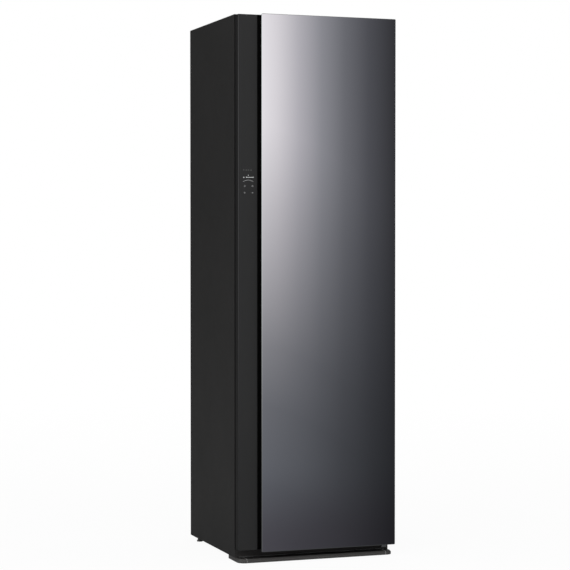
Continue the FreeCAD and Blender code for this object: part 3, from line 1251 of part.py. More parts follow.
def door_liner():
    """Moulded inner face: a raised plug for the chamber's mouth and a recess for the tanks."""
    inner_y = f"({DOOR_Y} + door_liner_wall)"
    edge = f"({SIDE_X} - door_liner_inset)"
    low, high = "chamber_bottom + plug_gap", f"{CHAMBER_TOP_Z} - plug_gap"
    liner = Body("door_liner")
    liner.pad("XZ", [rectangle(f"-{edge}", edge, "door_bottom + door_liner_inset",
                               f"{DOOR_TOP_Z} - door_liner_inset")], DOOR_Y, inner_y)
    plug = rectangle(f"-{PLUG_X}", PLUG_X, low, high)
    hollow = rectangle(f"door_liner_wall - {PLUG_X}", f"{PLUG_X} - door_liner_wall",
                       f"{low} + door_liner_wall", f"{high} - door_liner_wall")
    liner.pad("XZ", [plug], inner_y, PLUG_Y)
    liner.pocket("XZ", [hollow], DOOR_Y, f"{PLUG_Y} - door_liner_wall")
    cup_x = f"({BAY_X} + bay_gap)"
    cup = rectangle(f"-{cup_x}", cup_x, f"{BAY_BOTTOM_Z} - bay_gap", f"{BAY_TOP_Z} + bay_gap")
    wall = rectangle(f"-({cup_x} + door_liner_wall)", f"{cup_x} + door_liner_wall",
                     f"{BAY_BOTTOM_Z} - bay_gap - door_liner_wall",
                     f"{BAY_TOP_Z} + bay_gap + door_liner_wall")
    floor_y = f"({DOOR_Y} - tank_recess)"
    liner.pad("XZ", [wall], f"{floor_y} - door_liner_wall", DOOR_Y)
    liner.pocket("XZ", [cup], floor_y, inner_y)
    liner.done()


def door_gasket():
    """Soft loop on the inner face, which meets the front frame round the chamber's mouth."""
    inner_y = f"({DOOR_Y} + door_liner_wall)"
    half, low, high = f"({CHAMBER_X} + gasket_gap)", "(chamber_bottom - gasket_gap)", \
        f"({CHAMBER_TOP_Z} + gasket_gap)"
    outside = rectangle(f"-({half} + gasket_width)", f"{half} + gasket_width",
                        f"{low} - gasket_width", f"{high} + gasket_width")
    back = f"{FRAME_Y} - fit_gap"
    loop = Body("door_gasket")
    loop.pad("XZ", [outside, rectangle(f"-{half}", half, low, high)], inner_y, back)
    loop.dress("Fillet", "gasket_round", lambda edge: at(edge, "Y", back))
    loop.done()


def hinge_bushes():
    """Square-shanked bushes in the top and the bottom of the door."""
    inner = "pin_radius + running_gap"
    bushes = []
    for start in ("door_bottom", f"{DOOR_TOP_Z} - pin_length"):
        bush = Body("hinge_bush")
        bush.pad("XY", [BUSH_OUTLINE, (HINGE_X, HINGE_Y, inner)],
                 start, f"{start} + pin_length")
        bushes.append(bush.body)
    keep("hinge_bushes", group(*bushes))


def hinge_brackets():
    """Two angles on the case's right edge, each with a pin that points into the door."""
    left, right = f"{HINGE_X} - bracket_reach", f"{HINGE_X} + bracket_reach + bracket_gauge"
    leaf_y = f"{CASE_Y} - bracket_gauge"
    ends = {
        "top": (f"{DOOR_TOP_Z} + fit_gap", f"{DOOR_TOP_Z} + fit_gap + bracket_gauge",
                f"{DOOR_TOP_Z} - bracket_drop",
                (f"{DOOR_TOP_Z} + fit_gap - pin_length", f"{DOOR_TOP_Z} + fit_gap")),
        "bottom": ("door_bottom - fit_gap - bracket_gauge", "door_bottom - fit_gap",
                   "door_bottom - bracket_foot",
                   ("door_bottom - fit_gap", "door_bottom - fit_gap + pin_length")),
    }
    brackets = []
    for low, high, leaf_low, pin in ends.values():
        bracket = Body("hinge_bracket")
        bracket.pad("XY", [rectangle(left, right, f"{HINGE_Y} - bracket_reach", CASE_Y)], low, high)
        bracket.dress("Chamfer", "bracket_reach / 2",
                      lambda edge: upright(edge) and at(edge, "Y", f"{HINGE_Y} - bracket_reach"))
        bracket.pad("XZ", [rectangle(left, right, leaf_low, low)], leaf_y, CASE_Y)
        bracket.pad("XY", [(HINGE_X, HINGE_Y, "pin_radius")], *pin)
        brackets.append(bracket.body)
    keep("hinge_brackets", group(*brackets))


def press_brackets():
    """Two hinge lugs and the turn button's boss, which carry the press on the door's plug."""
    outline = rectangle("press_hinge_offset - press_lug_half",
                        "press_hinge_offset + press_lug_half", PLUG_Y,
                        f"{PRESS_Y} + press_lug_half")
    bore = ("press_hinge_offset", PRESS_Y, "press_pin_radius + running_gap")
    pieces = []
    for start in (f"{PRESS_Z} - press_lug_height", PRESS_TOP_Z):
        lug = Body("press_lug")
        lug.pad("XY", [outline, bore], start, f"{start} + press_lug_height")
        pieces.append(lug.body)
    boss = Body("latch_boss")
    boss.pad("XZ", [hexagon(LATCH_X, PRESS_MIDDLE_Z, "latch_boss_radius"),
                    (LATCH_X, PRESS_MIDDLE_Z, "latch_pin_radius + running_gap")],
             PLUG_Y, f"{LATCH_Y} - fit_gap")
    keep("press_brackets", group(*pieces, boss.body))


def press_plate():
    """Grooved pressing plate on two pins, along which trousers hang."""
    left = "(press_hinge_offset - press_width)"
    front, back = f"({PRESS_Y} - press_thickness / 2)", f"({PRESS_Y} + press_thickness / 2)"
    low, high = f"({PRESS_Z} + fit_gap)", f"({PRESS_TOP_Z} - fit_gap)"
    plate = Body("press_plate")
    plate.pad("XZ", [rectangle(left, "press_hinge_offset + press_tail", low, high)], front, back)
    plate.dress("Chamfer", "press_bevel", upright)
    first = f"({low} + press_groove_pitch / 2)"
    groove = plate.pocket("XZ", [rectangle(f"{left} + press_groove_pitch / 4",
                                           "press_hinge_offset - press_groove_pitch / 4",
                                           first, f"{first} + press_groove")],
                          f"{back} - press_groove / 2", back)
    plate.row(groove, "Z", "press_groove_pitch", "press_groove_count")
    pin = ("press_hinge_offset", PRESS_Y, "press_pin_radius")
    plate.pad("XY", [pin], f"{PRESS_Z} - press_lug_height", low)
    plate.pad("XY", [pin], high, f"{PRESS_TOP_Z} + press_lug_height")
    plate.done()


def press_latch():
    """Turn button beside the press, with its pin in the boss."""
    button = Body("press_latch")
    back = f"{LATCH_Y} + latch_thickness"
    button.pad("XZ", [rectangle(f"{LATCH_X} - latch_half_width", f"{LATCH_X} + latch_half_width",
                                f"{PRESS_MIDDLE_Z} - latch_length / 2",
                                f"{PRESS_MIDDLE_Z} + latch_length / 2")], LATCH_Y, back)
    button.dress("Chamfer", "latch_half_width / 2",
                 lambda edge: edge.BoundBox.YLength > number("latch_thickness") / 2)
    button.pad("XZ", [hexagon(LATCH_X, PRESS_MIDDLE_Z, "latch_boss_radius")], LATCH_Y,
               f"{back} + latch_thickness / 2")
    button.pad("XZ", [(LATCH_X, PRESS_MIDDLE_Z, "latch_pin_radius")],
               f"{PLUG_Y} + fit_gap", LATCH_Y)
    button.done()


def build():
    for name, side in (("side_panel_left", -1), ("side_panel_right", 1)):
        side_panel(name, side)
    for name, side in (("liner_left", -1), ("liner_right", 1)):
        chamber_side(name, side)
    for name, side in (("supply_tank", -1), ("drain_tank", 1)):
        tank(name, side)
    exchanger("evaporator", EVAPORATOR_Y)
    exchanger("condenser", CONDENSER_Y)
    for make in (top_cover, back_panel, base_tray, front_frame, kick_plate,
                 foot_covers, levelling_feet, cord_gland, chamber_back, chamber_ceiling,
                 chamber_floor, insulation, chamber_light, steam_nozzle, outlet_grille,
                 hanger_rail, hanger_carriage, guide_rods, drive_frame, crank_pulley,
                 motor_pulley, drive_motor, drive_belt, shelf, lint_filter, aroma_cassette,
                 tank_bay, duct_tray, blower_housing, blower_wheel, blower_motor, compressor,
                 compressor_mounts, refrigerant_pipes, steam_generator, steam_hose, water_pumps,
                 control_box, door_shell, grip_channel, control_strip, display_module,
                 mirror_carrier, mirror_glass, door_liner, door_gasket, hinge_bushes,
                 press_brackets,
                 hinge_brackets, press_plate, press_latch):
        make()


def write_parts():
    """Checks every object and writes each sub-part to a file of its own."""
    DOC.recompute()
    for thing in DOC.Objects:
        if {"Invalid", "Error"} & set(thing.State):
            raise RuntimeError(f"{thing.Name} ({thing.Label}) failed: {thing.State}")
    os.makedirs("parts", exist_ok=True)
    for name, thing in NODES.items():
        shape = thing.Shape
        if shape.isNull() or not shape.isValid():
            raise RuntimeError(f"{name} has no valid shape")
        shape.exportStep(f"parts/{name}.step")


build()
write_parts()
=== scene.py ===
"""Looks of a mirror-fronted clothes care steam cabinet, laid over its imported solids."""

import json
import math

import bmesh
import bpy
from mathutils import Matrix, Vector

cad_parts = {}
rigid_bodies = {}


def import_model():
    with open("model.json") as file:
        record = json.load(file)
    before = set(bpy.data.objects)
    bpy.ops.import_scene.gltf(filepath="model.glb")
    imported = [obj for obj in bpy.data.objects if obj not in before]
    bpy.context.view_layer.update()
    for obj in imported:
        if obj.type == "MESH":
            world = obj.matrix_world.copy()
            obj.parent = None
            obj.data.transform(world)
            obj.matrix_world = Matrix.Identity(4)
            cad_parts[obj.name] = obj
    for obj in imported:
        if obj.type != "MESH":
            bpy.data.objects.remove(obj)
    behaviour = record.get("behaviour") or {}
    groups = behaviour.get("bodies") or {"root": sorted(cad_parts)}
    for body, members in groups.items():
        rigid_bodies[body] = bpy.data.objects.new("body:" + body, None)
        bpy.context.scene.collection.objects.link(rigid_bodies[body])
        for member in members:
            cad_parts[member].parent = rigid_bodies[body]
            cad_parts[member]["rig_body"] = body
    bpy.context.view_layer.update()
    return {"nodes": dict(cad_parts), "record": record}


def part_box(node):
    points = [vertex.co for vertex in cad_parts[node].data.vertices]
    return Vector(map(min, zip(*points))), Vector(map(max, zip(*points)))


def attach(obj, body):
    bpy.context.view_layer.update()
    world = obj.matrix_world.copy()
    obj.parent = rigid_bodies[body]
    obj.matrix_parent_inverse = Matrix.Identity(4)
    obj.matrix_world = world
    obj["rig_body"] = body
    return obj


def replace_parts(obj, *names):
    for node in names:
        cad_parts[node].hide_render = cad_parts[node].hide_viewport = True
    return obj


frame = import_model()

scene = bpy.context.scene
MM = 0.001
FIRST_COLOUR, SECOND_COLOUR, MIXED_COLOUR = 6, 7, 2  # sockets of a Mix node set to colours
PANEL_BACK = 308.8 * MM                              # outer face of the back panel
SINGLE = ((0.0, 0.0, 1.0), 1)                        # a row of one


# ------------------------------------------------------------------------------------------
# Camera
# ------------------------------------------------------------------------------------------
def set_camera():
    """A long lens a little above half height, from the left front."""
    dip, turn = 0.0238, 0.3424
    data = bpy.data.cameras.new("camera")
    data.lens, data.sensor_width = 115.48, 36.0
    camera = bpy.data.objects.new("camera", data)
    camera.location = (-2.32345, -6.46223, 1.14934)
    camera.rotation_euler = (math.pi / 2 - dip, 0.0, -turn)
    scene.collection.objects.link(camera)
    scene.camera = camera


# ------------------------------------------------------------------------------------------
# Finishes
# ------------------------------------------------------------------------------------------
class Nodes:
    """Short hand for wiring the nodes of one shader tree."""

    def __init__(self, tree):
        self.tree = tree
        self.place = None

    def add(self, kind, inputs=None, **settings):
        """Adds a shader node, sets its properties, and fills its sockets with values or links."""
        node = self.tree.nodes.new("ShaderNode" + kind)
        for name, value in settings.items():
            setattr(node, name, value)
        for name, value in (inputs or {}).items():
            if isinstance(value, bpy.types.NodeSocket):
                self.tree.links.new(value, node.inputs[name])
            else:
                node.inputs[name].default_value = value
        return node

    def spot(self):
        """The point of the piece in its own metres."""
        if self.place is None:
            self.place = self.add("TexCoord").outputs["Object"]
        return self.place

    def stretched(self, stretch):
        """The same point with its axes scaled."""
        return self.add("Mapping", {"Vector": self.spot(), "Scale": stretch}).outputs["Vector"]

    def noise(self, scale, detail=2.0, stretch=None, rough=0.5):
        """Cloudy pattern with a scale in lumps to the metre."""
        spot = self.stretched(stretch) if stretch else self.spot()
        return self.add("TexNoise", {"Vector": spot, "Scale": scale, "Detail": detail,
                                     "Roughness": rough}).outputs["Fac"]

    def cells(self, scale, output="Distance"):
        """Pattern of cells, such as beads or spangle."""
        return self.add("TexVoronoi", {"Vector": self.spot(), "Scale": scale}).outputs[output]

    def along(self, axis):
        """One coordinate of the point."""
        return self.add("SeparateXYZ", {"Vector": self.spot()}).outputs[axis]

    def ramp(self, factor, *stops):
        """Steps a factor through greys or colours at given places."""
        node = self.add("ValToRGB", {"Fac": factor})
        bar = node.color_ramp
        while len(bar.elements) < len(stops):
            bar.elements.new(0.5)
        for element, (place, colour) in zip(bar.elements, stops):
            element.position = place
            grey = isinstance(colour, (int, float))
            element.color = (colour, colour, colour, 1.0) if grey else (*colour, 1.0)
        return node.outputs["Color"]

    def blend(self, factor, first, second):
        """Mixes two colours, from all first at 0 to all second at 1."""
        node = self.add("Mix", {"Factor": factor, FIRST_COLOUR: first, SECOND_COLOUR: second},
                        data_type="RGBA")
        return node.outputs[MIXED_COLOUR]

    def span(self, factor, low, high):
        """Maps a factor of 0 to 1 onto a range of numbers."""
        return self.add("MapRange", {"Value": factor, "To Min": low, "To Max": high}
                        ).outputs["Result"]

    def share(self, value, low, high, **settings):
        """How far a value has come from low to high, from 0 to 1."""
        return self.add("MapRange", {"Value": value, "From Min": low, "From Max": high},
                        **settings).outputs["Result"]

    def maths(self, operation, *values):
        """One step of arithmetic."""
        node = self.add("Math", operation=operation)
        for socket, value in zip(node.inputs, values):
            if isinstance(value, bpy.types.NodeSocket):
                self.tree.links.new(value, socket)
            else:
                socket.default_value = value
        return node.outputs[0]


class Finish(Nodes):
    """One surface finish: a shader whose colour, gloss and relief drift over the piece."""

    def __init__(self, name, colour, rough, metal=0.0, specular=0.5):
        self.material = bpy.data.materials.new(name)
        self.material.use_nodes = True
        super().__init__(self.material.node_tree)
        self.shader = self.tree.nodes["Principled BSDF"]
        self.colour, self.rough, self.relief = colour, rough, None
        self.set("Base Color", (*colour, 1.0))
        self.set("Roughness", rough)
        self.set("Metallic", metal)
        self.set("Specular IOR Level", specular)
        self.material.diffuse_color = (*colour, 1.0)

    def set(self, socket, value):
        """Sets or links one of the shader's sockets."""
        if isinstance(value, bpy.types.NodeSocket):
            self.tree.links.new(value, self.shader.inputs[socket])
        else:
            self.shader.inputs[socket].default_value = value
        return self

    def clouded(self, factor, low, high):
        """A colour that wanders from low to high; a noise seldom leaves 0.3 to 0.7."""
        return self.ramp(factor, (0.3, low), (0.7, high))

    def drift(self, factor, spread):
        """Lets the colour wander by a share to each side."""
        low, high = [[part * (1 + side * spread) for part in self.colour] for side in (-1, 1)]
        return self.set("Base Color", self.clouded(factor, low, high))

    def worn(self, factor, spread):
        """Lets the roughness wander by a step to each side."""
        return self.set("Roughness", self.span(factor, self.rough - spread,
                                               self.rough + spread))

    def raised(self, factor, height, strength=1.0):
        """Adds relief of a height in metres on top of what is there."""
        inputs = {"Height": factor, "Distance": height, "Strength": strength}
        if self.relief is not None:
            inputs["Normal"] = self.relief
        self.relief = self.add("Bump", inputs).outputs["Normal"]
        return self.set("Normal", self.relief)


def powder_coat(name, colour, rough=0.42, specular=0.2):
    """Baked powder coat: faint orange peel and slow drifts in gloss."""
    powder = Finish(name, colour, rough, specular=specular)
    powder.drift(powder.noise(3.0, 3.0), 0.05)
    powder.worn(powder.noise(9.0, 4.0), 0.05)
    return powder.raised(powder.noise(620.0, 2.0), 0.00005).material


def eroded(plastic):
    """Fine spark-eroded grain and uneven gloss of a moulded surface."""
    plastic.worn(plastic.noise(60.0, 3.0), 0.05)
    return plastic.raised(plastic.noise(1800.0, 3.0, rough=0.7), 0.00004).material


def moulded(name, colour, rough=0.45, specular=0.35):
    """Moulded plastic with slight flow marks."""
    plastic = Finish(name, colour, rough, specular=specular)
    plastic.drift(plastic.noise(14.0, 3.0, (1.0, 1.0, 0.25)), 0.05)
    return eroded(plastic)


def two_tone_liner(name):
    """Pale liner plastic that turns dark along the door's sides, outside its seal."""
    liner = Finish(name, (0.60, 0.59, 0.56), 0.38, specular=0.35)
    seal_edge = 269.5 * MM
    clouds = liner.noise(14.0, 3.0)
    pale = liner.clouded(clouds, (0.585, 0.575, 0.545), (0.615, 0.605, 0.575))
    dark = liner.clouded(clouds, (0.0095, 0.0095, 0.01), (0.0105, 0.0105, 0.011))
    outside = liner.maths("GREATER_THAN", liner.maths("ABSOLUTE", liner.along("X")), seal_edge)
    liner.set("Base Color", liner.blend(outside, pale, dark))
    return eroded(liner)


def zinc_sheet(name):
    """Zinc-coated sheet with its spangle and faint rolling lines."""
    sheet = Finish(name, (0.44, 0.45, 0.46), 0.38, metal=0.85)
    grey = sheet.add("RGBToBW", {"Color": sheet.cells(70.0, "Color")}).outputs["Val"]
    sheet.drift(grey, 0.09)
    sheet.worn(grey, 0.07)
    return sheet.raised(sheet.noise(260.0, 2.0, (1.0, 1.0, 0.04)), 0.00002).material


def worked_metal(name, colour, rough, stretch=(1.0, 1.0, 1.0)):
    """Bare metal with fine lines, drawn out along an axis by a small stretch."""
    stock = Finish(name, colour, rough, metal=1.0)
    lines = stock.noise(900.0, 4.0, stretch, 0.7)
    stock.drift(stock.noise(30.0, 3.0), 0.07)
    stock.worn(lines, 0.09)
    return stock.raised(lines, 0.000015).material


def rubber(name):
    """Matt rubber with a dusty bloom."""
    stock = Finish(name, (0.02, 0.02, 0.021), 0.72, specular=0.3)
    stock.drift(stock.noise(45.0, 4.0), 0.25)
    return stock.raised(stock.noise(900.0, 3.0, rough=0.8), 0.00005).material


def bead_foam(name):
    """Expanded bead foam: pale cells pressed against each other."""
    foam = Finish(name, (0.80, 0.80, 0.78), 0.85, specular=0.2)
    beads = foam.cells(260.0)
    foam.drift(beads, 0.07)
    return foam.raised(beads, 0.0006, 0.7).material


def smoked_tank(name):
    """Smoked translucent plastic of the water tanks."""
    wall = Finish(name, (0.10, 0.115, 0.13), 0.22, specular=0.5)
    wall.drift(wall.noise(6.0, 2.0, (1.0, 1.0, 3.0)), 0.12)
    wall.worn(wall.noise(30.0, 4.0), 0.04)
    wall.set("Coat Weight", 0.3).set("Coat Roughness", 0.08)
    return wall.raised(wall.noise(120.0, 2.0), 0.00004).material


def opal_cover(name):
    """Opal cover of the chamber's light."""
    cover = Finish(name, (0.84, 0.85, 0.82), 0.35, specular=0.5)
    cover.drift(cover.noise(25.0, 2.0), 0.03)
    cover.set("Emission Color", (1.0, 0.97, 0.9, 1.0)).set("Emission Strength", 0.12)
    return cover.raised(cover.cells(500.0), 0.00008).material


def sleeve_foam(name):
    """Black cellular rubber round a cold pipe."""
    foam = Finish(name, (0.03, 0.03, 0.031), 0.9, specular=0.15)
    foam.drift(foam.noise(90.0, 3.0), 0.2)
    return foam.raised(foam.cells(900.0), 0.0002, 0.6).material


def silvered_glass(name):
    """Lightly tinted mirror glass, with the least waviness of float glass."""
    pane = Finish(name, (0.545, 0.552, 0.60), 0.02, metal=1.0)
    pane.drift(pane.noise(1.3, 1.0), 0.006)
    return pane.raised(pane.noise(2.2, 1.0), 0.00006).material


def ground_edge(name):
    """Ground and polished edge of the glass."""
    edge = Finish(name, (0.52, 0.55, 0.55), 0.12, metal=1.0)
    edge.worn(edge.noise(300.0, 3.0), 0.04)
    return edge.raised(edge.noise(700.0, 2.0), 0.00002).material


def satin_black(name):
    """Satin front of the control strip with faint cleaning marks."""
    face = Finish(name, (0.0298, 0.0298, 0.0303), 0.3, specular=0.015)
    face.drift(face.noise(4.0, 3.0, (1.0, 1.0, 0.3)), 0.05)
    face.worn(face.noise(22.0, 5.0, (1.0, 1.0, 0.4)), 0.06)
    return face.raised(face.noise(420.0, 2.0), 0.00002).material


def polished_rim(name):
    """Buffed bevel along the strip's free edge."""
    rim = Finish(name, (0.018, 0.018, 0.019), 0.16, specular=0.5)
    rim.worn(rim.noise(60.0, 3.0, (1.0, 1.0, 0.1)), 0.03)
    return rim.raised(rim.noise(300.0, 2.0), 0.00001).material


def shadow_gap(name):
    """Painted shade: dull black for a fold that no light reaches, painted paler at its foot below
    the door, out of the door's shade.
    """
    gap = Finish(name, (0.004, 0.004, 0.0042), 0.8, specular=0.05)
    foot, door = 40 * MM, 48 * MM
    gap.set("Base Color", gap.ramp(gap.along("Z"), (foot, (0.037, 0.036, 0.035)),
                                   (door, gap.colour)))
    return gap.raised(gap.noise(500.0, 2.0), 0.00003).material


def glowing_mark(name, strength):
    """Light guide of a mark on the display, brighter in its middle."""
    mark = Finish(name, (0.2, 0.2, 0.2), 0.4, specular=0.2)
    mark.set("Emission Color", mark.ramp(mark.noise(900.0, 1.0), (0.2, (0.80, 0.86, 0.88)),
                                         (0.8, (1.0, 1.0, 1.0))))
    return mark.set("Emission Strength", strength).material


# ------------------------------------------------------------------------------------------
# Studio
# ------------------------------------------------------------------------------------------
def stage_piece(name, corners, material):
    """One flat sheet of the studio, through four corners."""
    mesh = bpy.data.meshes.new(name)
    mesh.from_pydata(corners, [], [(0, 1, 2, 3)])
    mesh.materials.append(material)
    sheet = bpy.data.objects.new(name, mesh)
    scene.collection.objects.link(sheet)
    return sheet


def seen_in_gloss_only(sheet):
    """Leaves a card out of everything but reflections."""
    sheet.visible_camera = sheet.visible_diffuse = sheet.visible_shadow = False
    sheet.visible_transmission = sheet.visible_volume_scatter = False


def bare_material(name):
    """Material with nothing on it yet: its wiring and its surface socket."""
    material = bpy.data.materials.new(name)
    material.use_nodes = True
    wires = Nodes(material.node_tree)
    wires.tree.nodes.remove(wires.tree.nodes["Principled BSDF"])
    return material, wires, wires.tree.nodes["Material Output"].inputs["Surface"]


def glow(name):
    """Material that only gives light: its wiring and its lamp."""
    material, wires, surface = bare_material(name)
    lamp = wires.add("Emission")
    wires.tree.links.new(lamp.outputs[0], surface)
    return material, wires, lamp


def graded(stops, tint):
    """Grey stops of a ramp with a tint laid over them."""
    return [(place, tuple(grey * share for share in tint)) for place, grey in stops]


def front_card():
    """Graded card before the mirror: bright to the upper left, fading down and to the right."""
    material, wires, lamp = glow("front_card")
    left, right = 1.04, 1.86
    foot_level, middle_level = -0.6, -0.1
    fade_level, full_level = -0.2, 2.1
    height = wires.along("Z")
    across = wires.share(wires.along("X"), left, right)
    upper = wires.ramp(across, (0.0, (1.42, 1.36, 1.31)), (0.12, (1.21, 1.15, 1.12)),
                       (0.28, (0.79, 0.76, 0.76)), (0.45, (0.455, 0.45, 0.46)),
                       (0.62, (0.257, 0.258, 0.268)), (0.8, (0.136, 0.137, 0.146)),
                       (1.0, (0.060, 0.060, 0.063)))
    foot = wires.ramp(across, *graded(((0.0, 0.112), (0.3, 0.085), (0.6, 0.062), (0.85, 0.038),
                                       (1.0, 0.025)), (1.02, 0.98, 1.08)))
    middle = wires.ramp(across, *graded(((0.0, 0.2), (0.3, 0.15), (0.6, 0.088), (0.85, 0.051),
                                         (1.0, 0.034)), (0.97, 1.01, 1.07)))
    rise = wires.share(height, foot_level, middle_level, interpolation_type="SMOOTHSTEP")
    lower = wires.blend(rise, foot, middle)
    slope = wires.maths("ADD", 0.05, wires.maths("MULTIPLY", 0.5,
                                                 wires.maths("POWER", across, 1.5)))
    upwards = wires.ramp(wires.share(wires.maths("ADD", height, slope), fade_level, full_level),
                         (0.0, 0.0), (0.2, 0.05), (0.35, 0.17), (0.5, 0.38), (0.7, 0.67),
                         (0.826, 0.875), (0.9, 0.975), (1.0, 1.0))
    wires.tree.links.new(wires.blend(upwards, lower, upper), lamp.inputs["Color"])
    card = stage_piece("front_card", [(-5, -4, -3), (-5, -4, 6), (7, -4, 6), (7, -4, -3)],
                       material)
    seen_in_gloss_only(card)


def grey_card(name, corners, *greys):
    """Card graded upwards through evenly spaced greys, from under the floor to over the top."""
    material, wires, lamp = glow(name)
    foot, top = -0.5, 2.5
    stops = [(place / (len(greys) - 1), grey) for place, grey in enumerate(greys)]
    upwards = wires.ramp(wires.share(wires.along("Z"), foot, top), *stops)
    wires.tree.links.new(upwards, lamp.inputs["Color"])
    seen_in_gloss_only(stage_piece(name, corners, material))


def set_floor():
    """Plain pale floor, which keeps a soft shadow under the cabinet."""
    near, far, half = 1.2, 6.0, 30
    material, wires, surface = bare_material("studio_floor")
    matt = wires.add("BsdfDiffuse", {"Color": (0.9, 0.9, 0.9, 1.0)})
    white = wires.add("Emission", {"Color": (1.0, 1.0, 1.0, 1.0), "Strength": 1.0})
    away = wires.add("VectorMath", {0: wires.spot()}, operation="LENGTH").outputs["Value"]
    paleness = wires.span(wires.share(away, near, far), 0.94, 1.0)
    seen = wires.maths("MULTIPLY", wires.add("LightPath").outputs["Is Camera Ray"], paleness)
    mixed = wires.add("MixShader", {"Fac": seen, 1: matt.outputs[0], 2: white.outputs[0]})
    wires.tree.links.new(mixed.outputs[0], surface)
    floor = stage_piece("studio_floor", [(-half, -half, 0), (half, -half, 0), (half, half, 0),
                                         (-half, half, 0)], material)
    floor.visible_glossy = False


def set_world():
    """White for the camera and for reflections, and a plain level of light for the rest."""
    world = bpy.data.worlds.new("studio")
    scene.world = world
    world.use_nodes = True
    wires = Nodes(world.node_tree)
    path = wires.add("LightPath")
    seen = wires.maths("MAXIMUM", path.outputs["Is Camera Ray"],
                       wires.maths("MAXIMUM", path.outputs["Is Glossy Ray"],
                                   path.outputs["Is Transmission Ray"]))
    sky = wires.tree.nodes["Background"]
    sky.inputs["Color"].default_value = (1.0, 1.0, 1.0, 1.0)
    wires.tree.links.new(wires.span(seen, 0.55, 1.0), sky.inputs["Strength"])


def area_lamp(name, place, target, size, power):
    """Soft square lamp that faces a point."""
    data = bpy.data.lights.new(name, "AREA")
    data.shape, data.size, data.energy = "SQUARE", size, power
    lamp = bpy.data.objects.new(name, data)
    lamp.location = place
    lamp.rotation_euler = (Vector(target) - Vector(place)).to_track_quat("-Z", "Y").to_euler()
    lamp.visible_glossy = False
    scene.collection.objects.link(lamp)


def set_studio():
    """Floor, world, lamps and the cards that the polished pieces reflect."""
    scene.view_settings.view_transform = "Standard"
    set_world()
    set_floor()
    front_card()
    grey_card("left_card", [(-3.6, -6, -2), (-3.6, -6, 5), (-3.6, 0.6, 5), (-3.6, 0.6, -2)],
              0.21, 0.3, 0.62, 1.05, 1.35, 1.45, 1.4)
    grey_card("rear_left_card", [(-5, 3.4, -2), (-5, 3.4, 5), (-0.25, 3.4, 5),
                                 (-0.25, 3.4, -2)], 0.19, 0.14, 0.09, 0.07, 0.08)
    grey_card("right_card", [(3.4, -1.5, -2), (3.4, -1.5, 5), (3.4, 4, 5), (3.4, 4, -2)],
              0.06, 0.06)
    grey_card("ceiling_card", [(-2, -3, 4.5), (3, -3, 4.5), (3, 3, 4.5), (-2, 3, 4.5)], 0.2, 0.2)
    grey_card("low_card", [(-1, -1.5, -0.4), (-1, 3, -0.4), (2, 3, -0.4), (2, -1.5, -0.4)],
              0.12, 0.12)
    area_lamp("left_lamp", (-3.5, -3.0, 3.0), (0, 0, 1.0), 2.6, 60)
    area_lamp("front_lamp", (0.6, -5.0, 3.2), (0, 0, 0.9), 3.0, 60)
    area_lamp("rear_lamp", (1.5, 4.5, 3.5), (0, 0, 1.0), 3.0, 55)


# ------------------------------------------------------------------------------------------
# Making pieces
# ------------------------------------------------------------------------------------------
def settle(piece):
    """The same piece with its modifiers worked in, as a plain mesh."""
    bpy.context.view_layer.update()
    graph = bpy.context.evaluated_depsgraph_get()
    mesh = bpy.data.meshes.new_from_object(piece.evaluated_get(graph), depsgraph=graph)
    piece.modifiers.clear()
    piece.data = mesh
    mesh.name = piece.name
    return piece


def place_piece(name, mesh, body):
    """Puts a finished mesh on its body, with its place in the mesh."""
    piece = bpy.data.objects.new(name, mesh)
    scene.collection.objects.link(piece)
    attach(piece, body)
    return piece


def mesh_of(shell, name, *materials, smooth=None):
    """The mesh of a finished shell, with its faces outwards and smooth up to an angle."""
    bmesh.ops.recalc_face_normals(shell, faces=shell.faces)
    mesh = bpy.data.meshes.new(name)
    shell.to_mesh(mesh)
    shell.free()
    for material in materials:
        mesh.materials.append(material)
    if smooth is not None:
        mesh.shade_smooth()
        mesh.set_sharp_from_angle(angle=math.radians(smooth))
    return mesh


def in_mm(profile, level=0.0):
    """Profile for turning, from millimetres out and up from a level."""
    return [(radius * MM, level + height * MM) for radius, height in profile]


def turned(shell, profile, middle=(0.0, 0.0, 0.0), steps=24, turn=None, crossed=None, finish=0):
    """Adds a form turned from (radius, height) pairs that run from one pole to the other.

    From the row that crossed gives, the rings are drawn in to the shape of a cross.
    """
    place = Matrix.Translation(middle) @ (turn or Matrix.Identity(4))
    rings = []
    for row, (radius, height) in enumerate(profile):
        ring = []
        for step in range(steps if radius else 1):
            angle = 2 * math.pi * step / steps
            reach = radius
            if crossed is not None and row >= crossed:
                reach *= 0.3 + 0.7 * abs(math.cos(2 * angle)) ** 3
            ring.append(shell.verts.new(place @ Vector((reach * math.cos(angle),
                                                        reach * math.sin(angle), height))))
        rings.append(ring)
    for low, high in zip(rings, rings[1:]):
        for step in range(steps):
            after = (step + 1) % steps
            corners = [low[step % len(low)], low[after % len(low)],
                       high[after % len(high)], high[step % len(high)]]
            shell.faces.new(dict.fromkeys(corners)).material_index = finish


def prism(shell, outline, place, finish=0):
    """Adds a plate: an outline of corners, placed once for each of its two faces."""
    faces = [[shell.verts.new(place(u, v, side)) for u, v in outline] for side in (0, 1)]
    shell.faces.new(faces[0]).material_index = finish
    shell.faces.new(faces[1][::-1]).material_index = finish
    for spot in range(len(outline)):
        after = (spot + 1) % len(outline)
        shell.faces.new((faces[0][spot], faces[1][spot], faces[1][after], faces[0][after])
                        ).material_index = finish


def skin(shell, rings, closed=True, finish=0):
    """Joins each ring of vertices to the next, and the last to the first where closed."""
    for ring, other in zip(rings, rings[1:] + (rings[:1] if closed else [])):
        for spot in range(len(ring)):
            after = (spot + 1) % len(ring)
            shell.faces.new((ring[spot], ring[after], other[after], other[spot])
                            ).material_index = finish


